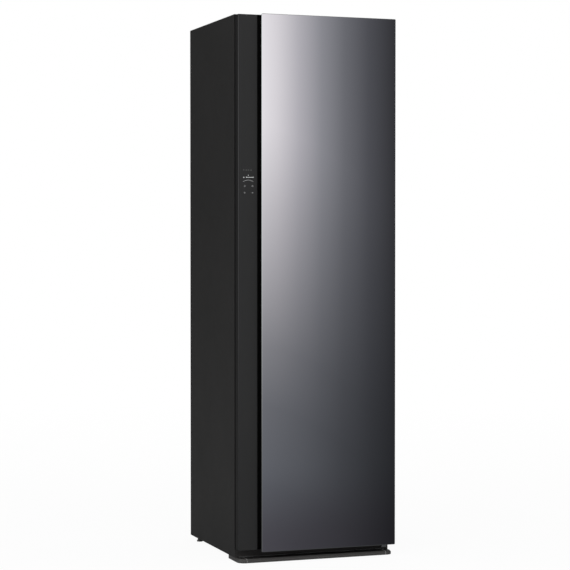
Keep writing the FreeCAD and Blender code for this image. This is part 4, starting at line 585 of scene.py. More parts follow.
def block(shell, low, high, finish=0):
    """Adds a block with its upright edges cut off."""
    cut = 0.15 * min(high[0] - low[0], high[1] - low[1])
    outline = [(low[0] + cut, low[1]), (high[0] - cut, low[1]), (high[0], low[1] + cut),
               (high[0], high[1] - cut), (high[0] - cut, high[1]), (low[0] + cut, high[1]),
               (low[0], high[1] - cut), (low[0], low[1] + cut)]
    prism(shell, outline, lambda u, v, side: (u, v, high[2] if side else low[2]), finish)


def body_of_node(node):
    """Name of the body that carries a node."""
    return frame["nodes"][node]["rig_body"]


def slot_of_node(node):
    """Name of the record's slot that a node is listed under."""
    listed = {entry["node"]: entry["material_slot"] for entry in frame["record"]["subparts"]}
    return listed[node]


def soften(node, width, material):
    """Stands in for a rigid node with the same form and its sharp edges rounded over."""
    weld, nearly_flat, sharp = 0.002 * MM, 0.01, math.radians(32)
    shell = bmesh.new()
    shell.from_mesh(frame["nodes"][node].data)
    bmesh.ops.remove_doubles(shell, verts=shell.verts, dist=weld)
    bmesh.ops.dissolve_limit(shell, angle_limit=nearly_flat, verts=shell.verts,
                             edges=shell.edges)
    mesh = bpy.data.meshes.new(node + "_dressed")
    shell.to_mesh(mesh)
    shell.free()
    if "custom_normal" in mesh.attributes:
        mesh.attributes.remove(mesh.attributes["custom_normal"])
    mesh.materials.clear()
    mesh.materials.append(material)
    for face in mesh.polygons:
        face.material_index = 0
    piece = place_piece(node + "_dressed", mesh, body_of_node(node))
    mesh.shade_smooth()
    rounded = piece.modifiers.new("rounded", "BEVEL")
    rounded.width, rounded.segments = width, 2
    rounded.limit_method, rounded.angle_limit = "ANGLE", sharp
    rounded.use_clamp_overlap = True
    flat = piece.modifiers.new("flat", "WEIGHTED_NORMAL")
    flat.weight, flat.keep_sharp = 80, True
    settle(piece)
    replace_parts(piece, node)
    return piece


def touch_up(piece, material, chosen):
    """Gives another finish to the faces that a test of normal and centre picks."""
    piece.data.materials.append(material)
    for face in piece.data.polygons:
        if chosen(face.normal, face.center):
            face.material_index = len(piece.data.materials) - 1


def coat(node, material):
    """Gives a node that keeps its own mesh a finish."""
    for slot in frame["nodes"][node].material_slots:
        slot.material = material


# ------------------------------------------------------------------------------------------
# Mirror
# ------------------------------------------------------------------------------------------
def rounded_loop(shell, low, high, level, inset, radius):
    """Ring of vertices round an upright rectangle whose corners are quarter circles."""
    steps = 6
    ring = []
    corners = ((high.x, high.z, 0), (low.x, high.z, 90), (low.x, low.z, 180),
               (high.x, low.z, 270))
    for x, z, turn in corners:
        sign_x, sign_z = (1 if x == high.x else -1), (1 if z == high.z else -1)
        middle = Vector((x - sign_x * radius, 0, z - sign_z * radius))
        for step in range(steps + 1):
            angle = math.radians(turn + 90 * step / steps)
            reach = radius - inset
            ring.append(shell.verts.new((middle.x + reach * math.cos(angle), level,
                                         middle.z + reach * math.sin(angle))))
    return ring


def mirror_pane():
    """Mirror with rounded corners and a ground bevel all round."""
    low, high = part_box("mirror_glass")
    radius, bevel = 3.5 * MM, 1.5 * MM
    shell = bmesh.new()
    back = rounded_loop(shell, low, high, high.y, 0.0, radius)
    rim = rounded_loop(shell, low, high, low.y + bevel, 0.0, radius)
    front = rounded_loop(shell, low, high, low.y, bevel, radius)
    silver, edge, backing = 0, 1, 2
    shell.faces.new(back[::-1]).material_index = backing
    shell.faces.new(front).material_index = silver
    skin(shell, [back, rim, front], closed=False, finish=edge)
    mesh = mesh_of(shell, "mirror_pane", silvered_glass("mirror_silver"),
                   ground_edge("mirror_edge"), moulded("mirror_backing", (0.03, 0.03, 0.032)))
    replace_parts(place_piece("mirror_pane", mesh, "door"), "mirror_glass")


# ------------------------------------------------------------------------------------------
# Display
# ------------------------------------------------------------------------------------------
def bar(shell, x, z, width, height, level, thickness):
    """Flat mark with rounded ends."""
    radius, steps = min(width, height) / 2, 4
    outline = []
    for turn, sign_x, sign_z in ((0, 1, 1), (90, -1, 1), (180, -1, -1), (270, 1, -1)):
        for step in range(steps + 1):
            angle = math.radians(turn + 90 * step / steps)
            outline.append((x + sign_x * (width / 2 - radius) + radius * math.cos(angle),
                            z + sign_z * (height / 2 - radius) + radius * math.sin(angle)))
    prism(shell, outline, lambda u, v, side: (u, level if side else level - thickness, v))


def ring_mark(shell, x, z, radius, width, level, thickness, gap):
    """Circle outline, open at its top by a gap in degrees."""
    count = 28
    first, last = 90 + gap / 2, 450 - gap / 2
    spots = [math.radians(first + (last - first) * step / count) for step in range(count + 1)]
    edges = []
    for reach, depth in ((radius, thickness), (radius - width, thickness),
                         (radius - width, 0.0), (radius, 0.0)):
        edges.append([shell.verts.new((x + reach * math.cos(angle), level - depth,
                                       z + reach * math.sin(angle))) for angle in spots])
    for edge, other in zip(edges, edges[1:] + edges[:1]):
        for place in range(count):
            shell.faces.new((edge[place], edge[place + 1], other[place + 1], other[place]))
    for end in (0, -1):
        shell.faces.new([edge[end] for edge in edges])


def display_marks():
    """Lit marks of a generic touch display, on the strip's front.

    A bar has its place, width and height, and a ring its place, radius, width and gap, in
    millimetres from the display's middle and in degrees.
    """
    low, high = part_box("display_module")
    x, z = (low.x + high.x) / 2, (low.z + high.z) / 2
    level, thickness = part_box("control_strip")[0].y, 0.12 * MM
    groups = {
        "bright": (0.62, [("bar", 2.4, 25.0, 2.6, 2.6), ("bar", -14.6, 17.4, 3.6, 3.6),
                          ("bar", 7.8, 17.6, 28.0, 1.3), ("bar", -4.6, 17.6, 3.4, 3.4),
                          ("bar", 20.2, 17.6, 3.4, 3.4)]),
        "soft": (0.2, [("bar", 2.2 + 3.6 * step, 7.6 - 0.2 * step ** 2, 2.4, 2.0)
                       for step in range(-5, 6)]),
        "keys": (0.115, [("ring", -10.8, -13.7, 3.0, 0.9, 70.0), ("bar", -10.8, -11.2, 0.9, 3.0),
                        ("ring", 18.1, -13.6, 3.0, 1.1, 0.0), ("bar", 18.1, -37.4, 5.6, 2.4)]),
        "faint": (0.105, [("bar", place, 43.4, 3.0, 1.4) for place in (-14.5, -4.8, 3.5, 12.5)]
                  + [("ring", -11.5, -37.4, 2.6, 0.9, 0.0)]),
    }
    for name, (strength, marks) in groups.items():
        shell = bmesh.new()
        for kind, across, up, first, second, *gap in marks:
            add = bar if kind == "bar" else ring_mark
            add(shell, x + across * MM, z + up * MM, first * MM, second * MM, level, thickness,
                *gap)
        mesh = mesh_of(shell, "display_marks_" + name,
                       glowing_mark("lit_mark_" + name, strength))
        place_piece("display_marks_" + name, mesh, "door")


# ------------------------------------------------------------------------------------------
# What repeats or follows a path
# ------------------------------------------------------------------------------------------
class Growth:
    """Tree of geometry nodes with a named input for each of its sizes."""

    def __init__(self, name, **sizes):
        self.tree = bpy.data.node_groups.new(name, "GeometryNodeTree")
        self.sizes, self.keys = sizes, {}
        sockets = self.tree.interface
        sockets.new_socket("Geometry", in_out="OUTPUT", socket_type="NodeSocketGeometry")
        sockets.new_socket("Geometry", in_out="INPUT", socket_type="NodeSocketGeometry")
        for size, value in sizes.items():
            kind = ("Int" if isinstance(value, int) else "Float" if isinstance(value, float)
                    else "Vector" if isinstance(value, tuple) else "Object")
            self.keys[size] = sockets.new_socket(size, in_out="INPUT",
                                                 socket_type="NodeSocket" + kind).identifier
        self.given = self.tree.nodes.new("NodeGroupInput").outputs

    def step(self, kind, inputs=None, output=0, **settings):
        """Adds a node and hands back one of its results."""
        node = self.tree.nodes.new(kind)
        for name, value in settings.items():
            setattr(node, name, value)
        for name, value in (inputs or {}).items():
            if isinstance(value, bpy.types.NodeSocket):
                self.tree.links.new(value, node.inputs[name])
            else:
                node.inputs[name].default_value = value
        return node.outputs[output]

    def tube(self, path, radius):
        """Round tube along a path, closed at its ends."""
        ring = self.step("GeometryNodeCurvePrimitiveCircle",
                         {"Resolution": 10, "Radius": radius})
        return self.step("GeometryNodeCurveToMesh", {"Curve": path, "Profile Curve": ring,
                                                     "Fill Caps": True})

    def grow(self, form, seed, body, material):
        """Ends the tree, sets its sizes, and leaves the result as a plain mesh on a body."""
        real = self.step("GeometryNodeRealizeInstances", {"Geometry": form})
        last = self.step("GeometryNodeSetMaterial", {"Geometry": real, "Material": material})
        self.tree.links.new(last, self.tree.nodes.new("NodeGroupOutput").inputs[0])
        piece = bpy.data.objects.new(self.tree.name, seed or bpy.data.meshes.new("start"))
        scene.collection.objects.link(piece)
        grown = piece.modifiers.new("growth", "NODES")
        grown.node_group = self.tree
        for size, value in self.sizes.items():
            grown[self.keys[size]] = value
        settle(piece)
        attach(piece, body)
        return piece


def rows(name, seed, start, across, up, body, slot, material, shape=None, **sizes):
    """The same form at every crossing of two evenly stepped rows."""
    tree = Growth(name, start=start, step_across=across[0], count_across=across[1],
                  step_up=up[0], count_up=up[1], **sizes)
    given = tree.given
    form = shape(tree) if shape else given["Geometry"]
    line = tree.step("GeometryNodeMeshLine", {"Count": given["count_across"],
                                              "Start Location": given["start"],
                                              "Offset": given["step_across"]})
    column = tree.step("GeometryNodeMeshLine", {"Count": given["count_up"],
                                                "Offset": given["step_up"]})
    row = tree.step("GeometryNodeInstanceOnPoints", {"Points": line, "Instance": form})
    every = tree.step("GeometryNodeInstanceOnPoints", {"Points": column, "Instance": row})
    return tree.grow(every, seed, body, material)


def around(name, seed, middle, radius, count, body, material):
    """The same form stepped round an upright axis, with its own X outwards."""
    tree = Growth(name, middle=middle, radius=radius, count=count)
    ring = tree.step("GeometryNodeMeshCircle", {"Vertices": tree.given["count"],
                                                "Radius": tree.given["radius"]})
    outwards = tree.step("FunctionNodeAlignRotationToVector",
                         {"Vector": tree.step("GeometryNodeInputPosition")},
                         axis="X", pivot_axis="Z")
    placed = tree.step("GeometryNodeInstanceOnPoints",
                       {"Points": ring, "Instance": tree.given["Geometry"],
                        "Rotation": outwards})
    moved = tree.step("GeometryNodeTransform", {"Geometry": placed,
                                                "Translation": tree.given["middle"]})
    return tree.grow(moved, seed, body, material)


def along_loop(name, seed, corners, count, body, material):
    """The same form stepped along a closed loop, with its own X along the loop."""
    mesh = bpy.data.meshes.new(name + "_path")
    mesh.from_pydata(corners, [(spot, (spot + 1) % len(corners))
                               for spot in range(len(corners))], [])
    path = bpy.data.objects.new(name + "_path", mesh)
    scene.collection.objects.link(path)
    tree = Growth(name, path=path, count=count)
    loop = tree.step("GeometryNodeObjectInfo", {"Object": tree.given["path"]}, "Geometry")
    curve = tree.step("GeometryNodeMeshToCurve", {"Mesh": loop})
    spots = tree.step("GeometryNodeResampleCurve", {"Curve": curve,
                                                    "Count": tree.given["count"]})
    forwards = tree.step("FunctionNodeAlignRotationToVector",
                         {"Vector": tree.step("GeometryNodeInputTangent")},
                         axis="X", pivot_axis="Z")
    placed = tree.step("GeometryNodeInstanceOnPoints",
                       {"Points": spots, "Instance": tree.given["Geometry"],
                        "Rotation": forwards})
    piece = tree.grow(placed, seed, body, material)
    bpy.data.objects.remove(path)
    return piece


def seed_of(name, build, smooth=None):
    """Small mesh that one building step makes, for a tree to repeat."""
    shell = bmesh.new()
    build(shell)
    return mesh_of(shell, name, smooth=smooth)


def screw_head(name, facing, radius=3.5 * MM, height=1.1 * MM):
    """Pan head with a cross recess, proud along Y to the side that facing names."""
    profile = [(0.0, 0.0), (radius, 0.0), (radius, 0.35 * height), (0.8 * radius, 0.85 * height),
               (0.5 * radius, height), (0.46 * radius, 0.5 * height), (0.0, 0.4 * height)]
    turn = Matrix.Rotation(-math.pi / 2 * facing, 4, "X")
    return seed_of(name, lambda shell: turned(shell, profile, turn=turn, steps=16, crossed=4),
                   smooth=40)


def fasteners(paint):
    """Screws of the back panel, the hinge brackets and the door's inner flange."""
    side, half = 266 * MM, 133 * MM
    for name, left, bottom, pitch, columns, rise, levels in (
            ("panel_screws_sides", -side, 45 * MM, 2 * side, 2, 237.5 * MM, 9),
            ("panel_screws_ends", -half, 30 * MM, half, 3, 1915 * MM, 2)):
        rows(name, screw_head(name, 1), (left, PANEL_BACK, bottom), ((pitch, 0.0, 0.0), columns),
             ((0.0, 0.0, rise), levels), "case", slot_of_node("back_panel"), paint["screw"])
    bracket, bracket_face, bracket_pitch = 280.7 * MM, -242.5 * MM, 18 * MM
    for name, level, count in (("hinge_screws_top", 1916 * MM, 2),
                               ("hinge_screws_bottom", 34 * MM, 1)):
        rows(name, screw_head(name, -1, 3.2 * MM, 1.2 * MM), (bracket, bracket_face, level),
             SINGLE, ((0.0, 0.0, bracket_pitch), count), body_of_node("hinge_brackets"),
             slot_of_node("hinge_brackets"), paint["screw"])
    flange, flange_face, lowest, flange_pitch = 282 * MM, -248 * MM, 100 * MM, 300 * MM
    rows("door_flange_screws", screw_head("door_flange_screws", 1, 2.6 * MM, 0.9 * MM),
         (-flange, flange_face, lowest), ((2 * flange, 0.0, 0.0), 2),
         ((0.0, 0.0, flange_pitch), 7), "door", slot_of_node("door_liner"), paint["screw"])


def louvre_hoods(paint):
    """Pressed hood over the upper half of each louvre of the back panel."""
    outline = [(0.0, 0.0), (1.1 * MM, -4.2 * MM), (0.7 * MM, -4.5 * MM), (0.0, -3.4 * MM)]
    width, column, lowest, pitch = 112 * MM, 85 * MM, 126.2 * MM, 14 * MM
    hood = seed_of("louvre_hoods", lambda shell: prism(
        shell, outline, lambda u, v, side: ((side - 0.5) * width, u, v)))
    rows("louvre_hoods", hood, (-column, PANEL_BACK, lowest), ((2 * column, 0.0, 0.0), 2),
         ((0.0, 0.0, pitch), 9), "case", slot_of_node("back_panel"), paint["zinc"])


def heat_exchanger(node, paint):
    """Fin and tube block: thin fins, end plates, tubes and the bends that join them."""
    low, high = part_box(node)
    body, slot = body_of_node(node), slot_of_node(node)
    fin_pitch, fin_thickness, fin_margin, fin_room = 2.4 * MM, 0.3 * MM, 1 * MM, 4 * MM
    plate, plate_thickness, plate_cut = high.x - 14.2 * MM, 1.6 * MM, 3 * MM
    tube_radius, bend, column_gap, tubes_high = 3.4 * MM, 10 * MM, 33 * MM, 7
    front, back = low.y + fin_margin, high.y - fin_margin
    under, over = low.z + fin_margin, high.z - fin_margin
    fin = seed_of(node + "_fins", lambda shell: prism(
        shell, [(front, under), (back, under), (back, over), (front, over)],
        lambda u, v, side: ((side - 0.5) * fin_thickness, u, v)))
    count = int((2 * plate - fin_room) / fin_pitch)
    fins = rows(node + "_fins", fin, (-(count - 1) / 2 * fin_pitch, 0.0, 0.0),
                ((fin_pitch, 0.0, 0.0), count), SINGLE, body, slot, paint["fins"])
    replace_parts(fins, node)
    outline = [(low.y, low.z + plate_cut), (low.y + plate_cut, low.z),
               (high.y - plate_cut, low.z), (high.y, low.z + plate_cut),
               (high.y, high.z - plate_cut), (high.y - plate_cut, high.z),
               (low.y + plate_cut, high.z), (low.y, high.z - plate_cut)]
    ends = bmesh.new()
    for x in (-plate, plate):
        prism(ends, outline, lambda u, v, side: (x + (side - 0.5) * plate_thickness, u, v))
    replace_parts(place_piece(node + "_end_plates", mesh_of(ends, node + "_end_plates",
                                                         paint["zinc"]), body), node)
    first_column = (low.y + high.y) / 2 - column_gap / 2
    lowest = (low.z + high.z) / 2 - (tubes_high - 1) * bend
    columns = ((0.0, column_gap, 0.0), 2)

    def straight(tree):
        line = tree.step("GeometryNodeCurvePrimitiveLine",
                         {"Start": (-plate, 0.0, 0.0), "End": (plate, 0.0, 0.0)})
        return tree.tube(line, tree.given["tube_radius"])

    def bent(tree):
        arc = tree.step("GeometryNodeCurveArc", {"Resolution": 12, "Radius": bend,
                                                 "Start Angle": -math.pi / 2,
                                                 "Sweep Angle": math.pi})
        upright = tree.step("GeometryNodeTransform", {"Geometry": arc,
                                                      "Rotation": tree.given["stance"]})
        return tree.step("GeometryNodeSetShadeSmooth",
                         {"Geometry": tree.tube(upright, tree.given["tube_radius"])})

    tubes = rows(node + "_tubes", None, (0.0, first_column, lowest), columns,
                 ((0.0, 0.0, 2 * bend), tubes_high), body, slot, paint["copper"], straight,
                 tube_radius=tube_radius)
    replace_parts(tubes, node)
    for side, x, turn, lift in (("right", plate, 0.0, bend), ("left", -plate, math.pi, 3 * bend)):
        bends = rows(node + "_bends_" + side, None, (x, first_column, lowest + lift), columns,
                     ((0.0, 0.0, 4 * bend), tubes_high // 2), body, slot, paint["copper"], bent,
                     tube_radius=tube_radius, stance=(math.pi / 2, 0.0, turn))
        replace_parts(bends, node)


def belt_loop(offset, level):
    """Line round both pulleys of the hanger drive, held off them by an offset."""
    low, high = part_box("drive_belt")
    thickness = 3 * MM
    wide, slim = (high.x - low.x) / 2 - thickness, 9.3 * MM
    big, small = low.y + wide + thickness, high.y - slim - thickness
    meet = math.acos((wide - slim) / (small - big))
    spots = []
    for middle, radius, first, last, count in (
            (big, wide, meet, 2 * math.pi - meet, 40), (small, slim, -meet, meet, 16)):
        for step in range(count + 1):
            angle = first + (last - first) * step / count
            reach = radius + offset
            spots.append((-reach * math.sin(angle), middle + reach * math.cos(angle), level))
    return spots


def toothed_belt(paint):
    """Rubber band of the hanger drive with teeth on its inner side."""
    low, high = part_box("drive_belt")
    body, slot = body_of_node("drive_belt"), slot_of_node("drive_belt")
    rounding, width, teeth_round = 0.4 * MM, 4.8 * MM, 63
    shell = bmesh.new()
    skin(shell, [[shell.verts.new(spot) for spot in belt_loop(offset * MM, level)]
                 for offset, level in (
                     (1.4, low.z), (2.7, low.z), (3.0, low.z + rounding),
                     (3.0, high.z - rounding), (2.7, high.z), (1.4, high.z))])
    band = place_piece("belt_band", mesh_of(shell, "belt_band", paint["rubber"], smooth=40),
                       body)
    outline = [(-1.25, 0.05), (1.25, 0.05), (0.75, 1.3), (-0.75, 1.3)]
    tooth = seed_of("belt_teeth", lambda shell: prism(
        shell, outline, lambda u, v, side: (u * MM, v * MM, (side - 0.5) * width)))
    teeth = along_loop("belt_teeth", tooth, belt_loop(1.5 * MM, (low.z + high.z) / 2),
                       teeth_round, body, paint["rubber"])
    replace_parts(band, "drive_belt")
    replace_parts(teeth, "drive_belt")


def ribbed_hose(paint):
    """Corrugated steam hose between the generator and the chamber, with smooth cuffs."""
    low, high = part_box("steam_hose")
    body, slot = body_of_node("steam_hose"), slot_of_node("steam_hose")
    x, y = (low.x + high.x) / 2, (low.y + high.y) / 2
    core = (in_mm([(0, 0), (6.6, 0), (7, 1), (7, 13), (5.7, 15)], low.z)
            + in_mm([(5.7, -15), (7, -13), (7, -1), (6.6, 0), (0, 0)], high.z))
    shell = bmesh.new()
    turned(shell, core, (x, y, 0.0), 20)
    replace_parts(place_piece("hose_core", mesh_of(shell, "hose_core", paint["rubber"], smooth=40),
                            body), "steam_hose")
    rib = in_mm([(0, -1.1), (5.9, -1.1), (6.9, -0.5), (6.9, 0.5), (5.9, 1.1), (0, 1.1)])
    first_rib, cuffs, pitch = low.z + 17 * MM, 32 * MM, 4 * MM
    length = high.z - low.z - cuffs
    count = int(length / pitch)
    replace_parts(rows("hose_ribs", seed_of("hose_ribs", lambda shell: turned(shell, rib, steps=20),
                                          smooth=40),
                     (x, y, first_rib), SINGLE, ((0.0, 0.0, length / (count - 1)), count), body,
                     slot, paint["rubber"]), "steam_hose")
    clamp = in_mm([(0, -3), (7.4, -3), (7.6, -2.6), (7.6, 2.6), (7.4, 3), (0, 3)])
    inset = 8 * MM
    rows("hose_clamps", seed_of("hose_clamps", lambda shell: turned(shell, clamp), smooth=40),
         (x, y, low.z + inset), SINGLE, ((0.0, 0.0, high.z - low.z - 2 * inset), 2), body, slot,
         paint["screw"])


def door_seal(paint):
    """Bellows seal on the door's inner flange, mitred round its four corners."""
    low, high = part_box("door_gasket")
    section = ((1, 0), (11, 0), (11, 1.2), (8.5, 1.8), (8, 3.2), (10.5, 4.2), (11.6, 5.5),
               (11.4, 7.6), (10, 8.9), (2, 8.9), (0.6, 7.6), (0.4, 5.5), (1.5, 4.2), (4, 3.2),
               (3.5, 1.8), (1, 1.2))
    corner = 14 * MM
    shell = bmesh.new()
    skin(shell, [rounded_loop(shell, low, high, low.y + depth * MM, inset * MM, corner)
                 for inset, depth in section])
    seal = place_piece("door_seal", mesh_of(shell, "door_seal", paint["rubber"], smooth=50),
                       "door")
    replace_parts(seal, "door_gasket")


def quarter_turned(piece, x, y):
    """Turns a finished mesh by a quarter round the upright line through a point."""
    piece.data.transform(Matrix.Translation((x, y, 0.0)) @ Matrix.Rotation(math.pi / 2, 4, "Z")
                         @ Matrix.Translation((-x, -y, 0.0)))
    return piece


def compressor_set(paint):
    """Welded can with its domed ends, its accumulator, its plate, bolts and grommets."""
    body, slot = body_of_node("compressor"), slot_of_node("compressor")
    x, y, side = 150 * MM, 66.5 * MM, -13.5 * MM
    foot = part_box("compressor")[0].z
    plate = foot + 3 * MM
    bolt_circle = 82 * MM
    zinc, black = 1, 2
    shell = bmesh.new()
    can = [(0, 0), (50, 0), (54.5, 3), (55.2, 8), (55.2, 150), (56, 151), (56, 154.5),
           (55.2, 155.5), (55.2, 172), (53.5, 181), (48, 189), (38, 195), (24, 198.6),
           (8, 199.8), (6, 200), (0, 200)]
    turned(shell, in_mm(can, plate), (x, y, 0.0), 48)
    flask = [(0, 70), (12, 70), (19, 73), (22, 79), (22, 176), (19, 183), (12, 187.5), (6, 189),
             (5.5, 190), (0, 190)]
    turned(shell, in_mm(flask, plate), (x, side, 0.0), 32)
    band = [(0, 110), (22.6, 110), (22.9, 111), (22.9, 129), (22.6, 130), (0, 130)]
    turned(shell, in_mm(band, plate), (x, side, 0.0), 32, finish=zinc)
    block(shell, (x - 9 * MM, side + 18 * MM, plate + 110 * MM),
          (x + 9 * MM, y - 50 * MM, plate + 130 * MM), zinc)
    block(shell, (x - 21 * MM, y + 48 * MM, plate + 112 * MM),
          (x + 21 * MM, y + 76 * MM, plate + 158 * MM), black)
    corners = []
    for turn in (90, 210, 330):
        for step, reach in ((-12, 91), (-6, 94), (0, 94), (6, 94), (12, 91)):
            angle = math.radians(turn + step)
            corners.append((x + reach * MM * math.cos(angle), y + reach * MM * math.sin(angle)))
    prism(shell, corners, lambda u, v, upper: (u, v, plate if upper else foot), zinc)
    mesh = mesh_of(shell, "compressor_can", paint["can"], paint["zinc"], paint["grip"],
                   smooth=35)
    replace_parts(place_piece("compressor_can", mesh, body), "compressor")
    bolt = [(0, -0.5), (6.4, -0.5), (6.4, 3.6), (5.4, 4.4), (0, 4.4)]
    nut = seed_of("compressor_bolts", lambda shell: turned(shell, in_mm(bolt), steps=6))
    quarter_turned(around("compressor_bolts", nut, (x, y, plate), bolt_circle, 3, body,
                          paint["screw"]), x, y)
    grommet = [(0, 0), (11, 0), (11.6, 0.8), (11.6, 3), (9.4, 4.6), (9.4, 6.2), (11.2, 7.5),
               (9.4, 8.8), (9.4, 10.4), (11.6, 12), (11.6, 14.2), (11, 15), (0, 15)]
    mount = seed_of("compressor_grommets", lambda shell: turned(shell, in_mm(grommet), steps=28),
                    smooth=35)
    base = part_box("compressor_mounts")[0].z
    rubber_feet = quarter_turned(
        around("compressor_grommets", mount, (x, y, base), bolt_circle, 3,
               body_of_node("compressor_mounts"),
               paint["rubber"]), x, y)
    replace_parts(rubber_feet, "compressor_mounts")
    shell = bmesh.new()
    sleeve = [(0, 234), (8.4, 234), (9, 235), (9, 287), (8.4, 288), (0, 288)]
    turned(shell, in_mm(sleeve), (x, side, 0.0))
    place_piece("cold_pipe_sleeve", mesh_of(shell, "cold_pipe_sleeve",
                                            sleeve_foam("sleeve_foam"), smooth=35),
                body_of_node("refrigerant_pipes"))


def insulation_boards(paint):
    """Foam boards at the chamber's sides and back, with their upright corners cut off."""
    low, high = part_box("insulation")
    wall = 30 * MM
    shell = bmesh.new()
    for left in (low.x, high.x - wall):
        block(shell, (left, low.y, low.z), (left + wall, high.y - wall, high.z))
    block(shell, (low.x + wall, high.y - wall, low.z), (high.x - wall, high.y, high.z))
    boards = place_piece("insulation_boards",
                         mesh_of(shell, "insulation_boards", paint["foam"]),
                         body_of_node("insulation"))
    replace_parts(boards, "insulation")


def filter_mesh(paint):
    """Woven mesh in both windows of the lint filter."""
    slot = slot_of_node("lint_filter")
    radius, pitch, columns, levels = 0.15 * MM, 2 * MM, 85, 50
    left, front, bottom = -145 * MM, -115.3 * MM, 360.3 * MM
    windows = ((0.0, 61 * MM, 0.0), 2)
    section = [(radius, 0.0), (0.0, radius), (-radius, 0.0), (0.0, -radius)]
    upright = seed_of("filter_mesh_upright", lambda shell: prism(
        shell, section, lambda u, v, end: (u, v, end * levels * pitch)))
    rows("filter_mesh_upright", upright, (left + pitch / 2, front, bottom),
         ((pitch, 0.0, 0.0), columns), windows, "lint_filter", slot, paint["screw"])
    level = seed_of("filter_mesh_level", lambda shell: prism(
        shell, section, lambda u, v, end: (end * columns * pitch, u, v)))
    rows("filter_mesh_level", level, (left, front, bottom + pitch / 2),
         ((0.0, 0.0, pitch), levels), windows, "lint_filter", slot, paint["screw"])


def tank_caps(paint):
    """Gripping ribs round the filler cap of each water tank."""
    out, front, radius, count = 119 * MM, -183 * MM, 20 * MM, 40
    for node in ("supply_tank", "drain_tank"):
        low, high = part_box(node)
        middle = (out if low.x > 0 else -out, front, high.z)
        rib = seed_of(node + "_cap_ribs", lambda shell: block(
            shell, (-0.6 * MM, -0.55 * MM, -1.3 * MM), (0.5 * MM, 0.55 * MM, -0.1 * MM)))
        around(node + "_cap_ribs", rib, middle, radius, count, body_of_node(node),
               paint["grip"])


def light_segments(paint):
    """Lens of each diode in the chamber's light."""
    low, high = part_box("chamber_light")
    pitch, count = 25 * MM, 12
    lens = seed_of("light_segments", lambda shell: block(
        shell, (-8 * MM, -4 * MM, -0.3 * MM), (8 * MM, 4 * MM, 0.2 * MM)))
    rows("light_segments", lens, (low.x + pitch / 2, (low.y + high.y) / 2, low.z),
         ((pitch, 0.0, 0.0), count), SINGLE, body_of_node("chamber_light"),
         slot_of_node("chamber_light"), paint["lens"])


def trim(paint):
    """Caps of the grip channel, and pale slivers at the joints of the foot cover that paint the
    bright line of a highlight there.
    """
    cap, cap_right, cap_back = 1.4 * MM, -188 * MM, -266 * MM
    shell = bmesh.new()
    low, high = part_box("grip_channel")
    for level in (low.z, high.z - cap):
        block(shell, (low.x, low.y, level), (cap_right, cap_back, level + cap))
    place_piece("channel_caps", mesh_of(shell, "channel_caps", paint["grip"]), "door")
    # Painted highlight: a pale sliver, proud by a hair, at each end of the foot cover's bar.
    shell = bmesh.new()
    low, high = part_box("foot_cover_bar")
    proud, slope, wall, width = 0.25 * MM, 6 * MM, 2 * MM, 1 * MM
    outline = [(low.y - proud, low.z), (low.y - proud, high.z - slope),
               (low.y + slope, high.z + proud), (high.y, high.z + proud),
               (high.y, high.z - wall), (low.y + slope, high.z - wall),
               (low.y + wall, high.z - slope), (low.y + wall, low.z)]
    for x in (low.x, high.x):
        prism(shell, outline, lambda u, v, side: (x + (side - 0.5) * width, u, v))
    place_piece("cover_joints", mesh_of(shell, "cover_joints", paint["joint"]),
                body_of_node("foot_cover_bar"))


# ------------------------------------------------------------------------------------------
# What finish goes where
# ------------------------------------------------------------------------------------------
def make_finishes():
    """Every finish of the cabinet under a short name."""
    drawn = (0.03, 1.0, 1.0)
    return {
        "case": powder_coat("case_coat", (0.0195, 0.0192, 0.019), specular=0.14),
        "door": powder_coat("door_coat", (0.010, 0.010, 0.0105), specular=0.14),
        # Painted light: a lighter copy of the case coat for the kick plate, making up for the shade
        # under the door.
        "kick": powder_coat("kick_coat", (0.04, 0.038, 0.037)),
        "frame": powder_coat("frame_coat", (0.016, 0.016, 0.0165), specular=0.14),
        "cover": moulded("cover_plastic", (0.058, 0.0565, 0.055)),
        # Painted shade: a darker copy of the cover plastic for the foot cover's top, which lies in
        # the door's shade.
        "cover_top": moulded("cover_top_plastic", (0.022, 0.0215, 0.021)),
        # Painted highlight: pale grey for the slivers at the foot cover's joints.
        "joint": moulded("joint_plastic", (0.45, 0.44, 0.43)),
        "strip": satin_black("strip_gloss"),
        "grip": moulded("grip_black", (0.006, 0.006, 0.006), 0.5, 0.08),
        "liner": moulded("liner_plastic", (0.60, 0.59, 0.56), 0.38),
        "door_liner": two_tone_liner("door_liner_plastic"),
        "inner": moulded("inner_plastic", (0.085, 0.085, 0.09)),
        "shelf": moulded("shelf_plastic", (0.48, 0.48, 0.47), 0.4),
        "press": moulded("press_plastic", (0.38, 0.38, 0.37), 0.42),
        "mould": moulded("gear_plastic", (0.30, 0.30, 0.31), 0.4),
        "zinc": zinc_sheet("zinc_sheet"),
        "rail": worked_metal("rail_metal", (0.56, 0.57, 0.58), 0.3, drawn),
        "rod": worked_metal("rod_steel", (0.5, 0.5, 0.5), 0.22, drawn),
        "cast": worked_metal("cast_metal", (0.40, 0.41, 0.42), 0.45),
        "fins": worked_metal("fin_metal", (0.62, 0.63, 0.64), 0.35),
        "screw": worked_metal("screw_metal", (0.46, 0.46, 0.47), 0.34),
        "copper": worked_metal("copper", (0.74, 0.38, 0.24), 0.28),
        "can": powder_coat("compressor_coat", (0.03, 0.03, 0.031), 0.3, 0.4),
        "rubber": rubber("dark_rubber"),
        "tank": smoked_tank("tank_smoke"),
        "foam": bead_foam("bead_foam"),
        "opal": opal_cover("opal_cover"),
        "lens": moulded("diode_lens", (0.78, 0.76, 0.62), 0.3),
    }


